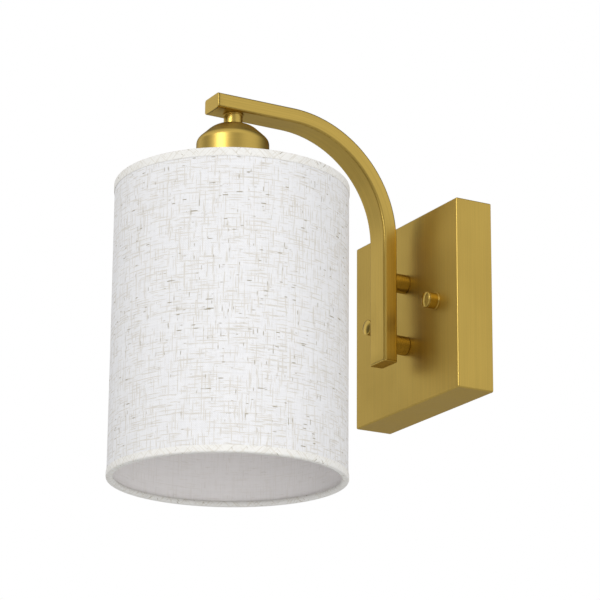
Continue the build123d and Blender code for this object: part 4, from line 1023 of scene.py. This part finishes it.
def tape_profile(height, cloth_radius, wire_ring):
    """The tape's section, its heights counted from the ring wire.

    It runs from the thin edge on the cloth over the wire, round its inside and back.
    """
    size, gap = sizes(), LAYER_GAP
    pressed, edge_sheet, corner, feather, edge_gap, top_gap = 0.7, *mm(0.1, 1.1, 1.4, 1.8, 1.6)
    fit = size.wire / 2 + gap
    wrap = fit + size.tape
    band, inside = wrap - height, cloth_radius - 2 * size.skin - 4 * gap
    thin, outside = cloth_radius + gap + edge_sheet, cloth_radius + gap + size.tape * pressed
    top = rounded([(outside, band), (outside, wrap), (wire_ring, wrap)], (0, corner, 0), 8)[1:-1]
    a = np.linspace(0, QUARTER_TURN, 7)
    return np.concatenate([
        np.stack([thin + (outside - thin) * np.sin(a), band + feather * (1 - np.cos(a))], axis=1),
        np.stack([np.full(5, outside), np.linspace(band + edge_gap, wrap - top_gap, 5)], axis=1),
        top,
        arc((wire_ring, 0), wrap, QUARTER_TURN, 3 * QUARTER_TURN, 20),
        [(inside, -wrap), (inside, -fit)],
        arc((wire_ring, 0), fit, 3 * QUARTER_TURN, QUARTER_TURN, 14),
        [(cloth_radius + gap, fit), (cloth_radius + gap, band)],
    ])


def build_shade_trims():
    """The bias tapes: their section carried round the drum, with a slow ripple on the outside."""
    size, place = sizes(), axis_of("shade_liner")
    liner = standing("shade_liner")[0]
    cloth_radius = liner + LAYER_GAP + size.skin
    ring = liner - size.skin - LAYER_GAP - size.wire / 2
    wrap = size.wire / 2 + LAYER_GAP + size.tape
    clear, unevenness = mm(0.3, 0.05)
    for node, name, flip, seed in (
        ("shade_top_trim", "top_tape", 1, 22), ("shade_bottom_trim", "bottom_tape", -1, 20),
    ):
        low, high = box(node)
        level = high[2] - wrap if flip > 0 else low[2] + wrap
        profile = tape_profile(high[2] - low[2], cloth_radius, ring)
        profile[:, 1] = level + flip * profile[:, 1]

        def handmade(angle, radius, height, seed=seed):
            outside = share(radius - cloth_radius - clear, clear)
            return radius + outside * (ripple(angle * 3, height, seed, unevenness) - unevenness)

        turned(name, profile, place, "shade", "bias_tape", (node,), sides=480, relief=handmade)


# ---------------------------------------------------------------- lamp

def globe_line(inset):
    """The glass from its open neck to its pole: neck, hollow shoulder and globe.

    The hollow arc and the globe touch where the line between their middles, which is as long
    as both radii together, crosses them, at the angle asin(rise / length) over the level.
    """
    glass_radius, glass_bottom, glass_top = standing("lamp_glass")
    neck, shoulder, seat_radius = mm(14.0, 42.0, 12.5)
    centre, step = glass_bottom + glass_radius, standing("lamp_shell")[1] - inset
    ball, side, hollow, seat = glass_radius - inset, neck - inset, shoulder + inset, seat_radius - inset
    hollow_x, reach = side + hollow, ball + hollow
    rise = math.sqrt(reach ** 2 - hollow_x ** 2)
    turn = math.asin(rise / reach)
    curve = arc((hollow_x, centre + rise), hollow, HALF_TURN, HALF_TURN + turn, 20)
    dome = arc((0, centre), ball, turn, -QUARTER_TURN, 40)
    return np.concatenate([[(seat, glass_top), (seat, step), (side, step)], curve, dome[1:]])


def build_lamp():
    """The lamp: opal globe with a hollow shoulder into its neck, screw shell, insulator and tip."""
    size, place = sizes(), axis_of("lamp_glass")
    glass = np.concatenate([globe_line(0), globe_line(0.9 * MM)[::-1]])
    turned("globe", glass, place, "lamp", "opal_glass", ("lamp_glass",), sides=128)
    radius, bottom, top = standing("lamp_shell")
    bore, sheet, thread_depth, plain = mm(12.55, 0.5, 0.45, 2.5)
    shell = rounded(
        [(0.0, top - sheet), (bore, top - sheet), (bore, bottom),
         (radius, bottom), (radius, top), (0.0, top)],
        mm(0, 0, 0.1, 0.2, 0.9, 0), 4,
    )
    rolled = beyond(bore + 0.15 * MM, thread(size.lamp_pitch, thread_depth, bottom + plain, top))
    turned("lamp_screw_shell", more_rows(shell, 0.3 * MM, closed=False), place, "lamp",
           "lamp_metal", ("lamp_shell",), closed=False, relief=rolled)
    wide, bottom, top = standing("lamp_insulator")
    cone = rounded([(0.0, bottom), (wide, bottom), (4.8 * MM, top), (0.0, top)], mm(0, 0.3, 0.6, 0))
    turned("lamp_cone", cone, place, "lamp", "insulator", ("lamp_insulator",), closed=False)
    radius, bottom, top = standing("lamp_tip")
    tip = ring_outline(0.0, radius, bottom + size.contact, top, mm(0, 0.1, 1.0, 0), 8)
    turned("lamp_contact", tip, place, "lamp_tip", "lamp_metal", ("lamp_tip",), closed=False)


# ---------------------------------------------------------------- wiring and fixings

def build_wiring():
    """The twist-on connectors, ribbed cones with a skirt, and the leads' insulation."""
    low, high = box("wire_connectors")
    height = high[2] - low[2]
    foot, tip, bore, skirt_draft, hole, rib_depth, rib_reach = mm(4.8, 3.2, 1.05, 0.2, 6.0, 0.45, 2.0)
    skirt, rib_start, ribs = height * 0.2, height * 0.24, 12
    profile = rounded(
        [(0.0, hole), (bore, hole), (bore, 0), (foot, 0),
         (foot - skirt_draft, skirt), (tip, height), (0.0, height)],
        mm(0, 0, 0, 0.4, 0.3, 0.9, 0), 5,
    )
    profile = more_rows(profile, 0.7 * MM, closed=False)

    def ribbed(angle, radius, level):
        valley = 0.5 - 0.5 * np.cos(angle * ribs)
        up = share(level - rib_start, 1 * MM) * share(height - level, 1.2 * MM)
        return radius - rib_depth * valley * up

    for number, x in enumerate((low[0] + foot, high[0] - foot), 1):
        place = np.array([x, (low[1] + high[1]) / 2, low[2]])
        turned(f"wire_connector_{number}", profile, place, "wall_lamp",
               "connector_plastic", ("wire_connectors",), closed=False, relief=beyond(rib_reach, ribbed))
    for lead in ("live_lead", "neutral_lead", "ground_lead"):
        dress(lead, lead)


def build_fixings():
    """The steel parts inside plate, arm and cup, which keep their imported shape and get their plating."""
    dress("zinc", "wall_strap", "canopy_studs", "canopy_stud_nuts", "standoff_nipple", "nipple_washer",
          "nipple_nut", "standoff_screw", "standoff_screw_washer", "arm_nipple_nuts", "arm_screw_nut",
          "neck_nipple", "cup_washer", "cup_nut", "ground_eyelets")
    dress("green_paint", "ground_screw")


# ---------------------------------------------------------------- stage

LENS_PIXELS, PHOTO_PIXELS, SENSOR = 2653.424, 600, 36.0
CAMERA_AZIMUTH, CAMERA_ELEVATION, CAMERA_ROLL = 60.740, -17.157, 0.445
CAMERA_AIM = Vector((0.0, -0.080, 0.0))
CAMERA_SHIFT, CAMERA_RISE, CAMERA_DISTANCE = 0.017561, -0.001266, 1.624777
CAMERA_NEAR, CAMERA_FAR = 0.05, 60.0


def heading(azimuth, elevation):
    """The direction from the light to a place round it: azimuth 0 is -Y, 90 degrees is +X."""
    a, e = math.radians(azimuth), math.radians(elevation)
    return Vector((math.sin(a) * math.cos(e), -math.cos(a) * math.cos(e), math.sin(e)))


def build_camera():
    """The camera of the photograph: level turned to its azimuth, looking up, with a slight roll."""
    a, roll = math.radians(CAMERA_AZIMUTH), math.radians(CAMERA_ROLL)
    back = heading(CAMERA_AZIMUTH, CAMERA_ELEVATION)
    right = Vector((math.cos(a), math.sin(a), 0))
    up = back.cross(right)
    across = math.cos(roll) * right + math.sin(roll) * up
    above = math.cos(roll) * up - math.sin(roll) * right
    data = bpy.data.cameras.new("camera")
    data.sensor_width = SENSOR
    data.lens = LENS_PIXELS * SENSOR / PHOTO_PIXELS
    data.clip_start, data.clip_end = CAMERA_NEAR, CAMERA_FAR
    camera = bpy.data.objects.new("camera", data)
    turn = Matrix((across, above, back)).transposed().to_4x4()
    spot = CAMERA_AIM - CAMERA_SHIFT * across - CAMERA_RISE * above + CAMERA_DISTANCE * back
    camera.matrix_world = Matrix.Translation(spot) @ turn
    bpy.context.scene.collection.objects.link(camera)
    bpy.context.scene.camera = camera


def soft_light(name, azimuth, elevation, distance, width, watts, glossy):
    """A square of light at a distance from the wall light, facing it. Glossy is whether gloss shows it."""
    way = heading(azimuth, elevation)
    data = bpy.data.lights.new(name, "AREA")
    data.shape, data.size, data.size_y, data.energy = "RECTANGLE", width, width, watts
    lamp = bpy.data.objects.new(name, data)
    lamp.location = CAMERA_AIM + way * distance
    lamp.rotation_euler = way.to_track_quat("Z", "Y").to_euler()
    lamp.visible_glossy = glossy
    bpy.context.scene.collection.objects.link(lamp)


# The brightness of the studio that gloss sees: far in front, far below, and away behind the light.
IN_FRONT, FAR_BELOW, AWAY = 0.88, 0.50, 0.12
AWAY_DIRECTION = (-0.6, 0.8, 0.6)
# How far a direction has to point that way for the change to start and to be complete.
FRONT_RANGE, BELOW_RANGE, AWAY_RANGE, SCREEN_RANGE = (-0.3, 0.9), (-0.75, 0.15), (0.35, 1.0), (0.87, 0.95)
# Upright studio screens that only gloss sees: a direction on the floor plan and the brightness there.
SCREENS = ((-0.469, -0.883, 0.20), (0.956, -0.292, 0.40), (-0.899, -0.438, 1.12))
# The brightness of the even sky that matt surfaces see.
EVEN_SKY = 0.62


def build_world():
    """The studio: white for the camera, an even grey sky for matt surfaces and a room for gloss and glass.

    The room is white, a little darker in front, darker below and away behind the light, and
    has upright screens in three directions.
    """
    world = bpy.data.worlds.new("studio")
    bpy.context.scene.world = world
    world.use_nodes = True
    world.node_tree.nodes.clear()
    nodes = Nodes(world.node_tree)
    way = nodes.add("ShaderNodeTexCoord").outputs["Generated"]
    split = nodes.add("ShaderNodeSeparateXYZ", {"Vector": way}).outputs
    front = nodes.ramp(nodes.times(split["Y"], -1.0), *FRONT_RANGE, 1.0, IN_FRONT)
    below = nodes.ramp(split["Z"], *BELOW_RANGE, FAR_BELOW, 1.0)
    rear = nodes.ramp(nodes.dot(way, AWAY_DIRECTION), *AWAY_RANGE, 1.0, AWAY)
    room = nodes.times(nodes.times(front, below), rear)
    for x, y, brightness in SCREENS:
        toward = nodes.dot(way, (x, y, 0.0))
        room = nodes.times(room, nodes.ramp(toward, *SCREEN_RANGE, 1.0, brightness))
    path = nodes.add("ShaderNodeLightPath").outputs
    camera = path["Is Camera Ray"]
    glossy = nodes.math("MAXIMUM", path["Is Glossy Ray"], path["Is Transmission Ray"])
    matt, unseen = nodes.math("SUBTRACT", 1.0, glossy), nodes.math("SUBTRACT", 1.0, camera)
    level = nodes.plus(nodes.times(glossy, room), nodes.times(matt, EVEN_SKY))
    strength = nodes.plus(camera, nodes.times(unseen, level))
    sky = nodes.add("ShaderNodeBackground", {"Color": (1, 1, 1, 1), "Strength": strength})
    nodes.add("ShaderNodeOutputWorld", {"Surface": sky.outputs[0]})


def build_floor():
    """A flat square far below the light, divided into equal faces."""
    drop, reach, squares = -sizes().floor_drop, 6.0, 8
    mesh = bpy.data.meshes.new("floor")
    line = np.linspace(-reach, reach, squares + 1)
    x, y = np.meshgrid(line, line, indexing="ij")
    spots = np.stack([x, y, np.full_like(x, drop)], axis=-1).reshape(-1, 3)
    i, j = np.meshgrid(np.arange(squares), np.arange(squares), indexing="ij")
    corner, across = (i * (squares + 1) + j).ravel(), squares + 1
    faces = np.stack([corner, corner + across, corner + across + 1, corner + 1], -1)
    mesh.from_pydata(spots.tolist(), [], faces.tolist())
    mesh.materials.append(finish("floor"))
    ground = bpy.data.objects.new("floor", mesh)
    bpy.context.scene.collection.objects.link(ground)


def build_stage():
    """The floor, the studio, three soft lights and the camera."""
    build_floor()
    build_world()
    # azimuth and elevation in degrees, distance and width in metres, watts, shown by gloss
    soft_light("key_light", 24, 20, 2.0, 0.85, 13.5, True)
    soft_light("side_light", 128, 12, 2.2, 1.2, 9, False)
    soft_light("low_light", 78, -26, 1.0, 0.6, 2.1, False)
    build_camera()
    bpy.context.scene.view_settings.view_transform = "Standard"


# ---------------------------------------------------------------- operators and panel

class WALLLIGHT_OT_back_plate(bpy.types.Operator):
    """Build the square pan against the wall"""
    bl_idname = "wall_light.back_plate"
    bl_label = "Back plate"

    def execute(self, context):
        build_back_plate()
        return {"FINISHED"}


class WALLLIGHT_OT_standoffs(bpy.types.Operator):
    """Build the two spacers between plate and arm"""
    bl_idname = "wall_light.standoffs"
    bl_label = "Standoffs"

    def execute(self, context):
        build_standoffs()
        return {"FINISHED"}


class WALLLIGHT_OT_cap_nuts(bpy.types.Operator):
    """Build the two closed nuts and their base rings"""
    bl_idname = "wall_light.cap_nuts"
    bl_label = "Cap nuts"

    def execute(self, context):
        build_cap_nuts()
        return {"FINISHED"}


class WALLLIGHT_OT_arm(bpy.types.Operator):
    """Build the arched tube and its two closing plates"""
    bl_idname = "wall_light.arm"
    bl_label = "Arm"

    def execute(self, context):
        build_arm()
        build_arm_caps()
        return {"FINISHED"}


class WALLLIGHT_OT_neck_and_cup(bpy.types.Operator):
    """Build the collar under the arm and the spun cup"""
    bl_idname = "wall_light.neck_and_cup"
    bl_label = "Neck and cup"

    def execute(self, context):
        build_neck_and_cup()
        return {"FINISHED"}


class WALLLIGHT_OT_socket(bpy.types.Operator):
    """Build the lamp socket with its threads"""
    bl_idname = "wall_light.socket"
    bl_label = "Socket"

    def execute(self, context):
        build_socket_cap()
        build_socket()
        return {"FINISHED"}


class WALLLIGHT_OT_shade_clamp(bpy.types.Operator):
    """Build the washer and the screw ring that hold the shade"""
    bl_idname = "wall_light.shade_clamp"
    bl_label = "Shade clamp"

    def execute(self, context):
        build_shade_clamp()
        return {"FINISHED"}


class WALLLIGHT_OT_shade_frame(bpy.types.Operator):
    """Build the shade's hub, spokes and wire rings"""
    bl_idname = "wall_light.shade_frame"
    bl_label = "Shade frame"

    def execute(self, context):
        build_shade_frame()
        return {"FINISHED"}


class WALLLIGHT_OT_shade_skins(bpy.types.Operator):
    """Build the linen drum and its liner"""
    bl_idname = "wall_light.shade_skins"
    bl_label = "Shade cloth and liner"

    def execute(self, context):
        build_shade_skins()
        return {"FINISHED"}


class WALLLIGHT_OT_shade_trims(bpy.types.Operator):
    """Build the bias tapes on the shade's edges"""
    bl_idname = "wall_light.shade_trims"
    bl_label = "Shade tapes"

    def execute(self, context):
        build_shade_trims()
        return {"FINISHED"}


class WALLLIGHT_OT_lamp(bpy.types.Operator):
    """Build the globe lamp with its screw shell"""
    bl_idname = "wall_light.lamp"
    bl_label = "Lamp"

    def execute(self, context):
        build_lamp()
        return {"FINISHED"}


class WALLLIGHT_OT_wiring(bpy.types.Operator):
    """Build the wire connectors and colour the leads"""
    bl_idname = "wall_light.wiring"
    bl_label = "Wiring"

    def execute(self, context):
        build_wiring()
        return {"FINISHED"}


class WALLLIGHT_OT_fixings(bpy.types.Operator):
    """Plate the strap, studs, nuts, washers and screws"""
    bl_idname = "wall_light.fixings"
    bl_label = "Fixings"

    def execute(self, context):
        build_fixings()
        return {"FINISHED"}


class WALLLIGHT_OT_stage(bpy.types.Operator):
    """Build the floor, the lights and the camera"""
    bl_idname = "wall_light.stage"
    bl_label = "Stage"

    def execute(self, context):
        build_stage()
        return {"FINISHED"}


OPERATORS = (
    WALLLIGHT_OT_back_plate, WALLLIGHT_OT_standoffs, WALLLIGHT_OT_cap_nuts, WALLLIGHT_OT_arm,
    WALLLIGHT_OT_neck_and_cup, WALLLIGHT_OT_socket, WALLLIGHT_OT_shade_clamp, WALLLIGHT_OT_shade_frame,
    WALLLIGHT_OT_shade_skins, WALLLIGHT_OT_shade_trims, WALLLIGHT_OT_lamp, WALLLIGHT_OT_wiring,
    WALLLIGHT_OT_fixings, WALLLIGHT_OT_stage,
)


class WALLLIGHT_PT_panel(bpy.types.Panel):
    """Lists the light's pieces, sizes and colours"""
    bl_idname = "WALLLIGHT_PT_panel"
    bl_label = "Shade wall light"
    bl_space_type = "VIEW_3D"
    bl_region_type = "UI"
    bl_category = "Wall light"

    def draw(self, context):
        column = self.layout.column(align=True)
        for operator in OPERATORS:
            column.operator(operator.bl_idname)
        for values in (context.scene.wall_light_sizes, context.scene.wall_light_colours):
            column = self.layout.column(align=True)
            for name in values.__annotations__:
                column.prop(values, name)


CLASSES = (WallLightSizes, WallLightColours, *OPERATORS, WALLLIGHT_PT_panel)


def register():
    for made in CLASSES:
        bpy.utils.register_class(made)
    bpy.types.Scene.wall_light_sizes = PointerProperty(type=WallLightSizes)
    bpy.types.Scene.wall_light_colours = PointerProperty(type=WallLightColours)


def unregister():
    del bpy.types.Scene.wall_light_colours
    del bpy.types.Scene.wall_light_sizes
    for made in reversed(CLASSES):
        bpy.utils.unregister_class(made)


def main():
    register()
    for operator in OPERATORS:
        getattr(bpy.ops.wall_light, operator.bl_idname.split(".")[1])()
    bpy.context.view_layer.update()


if __name__ == "__main__":
    main()
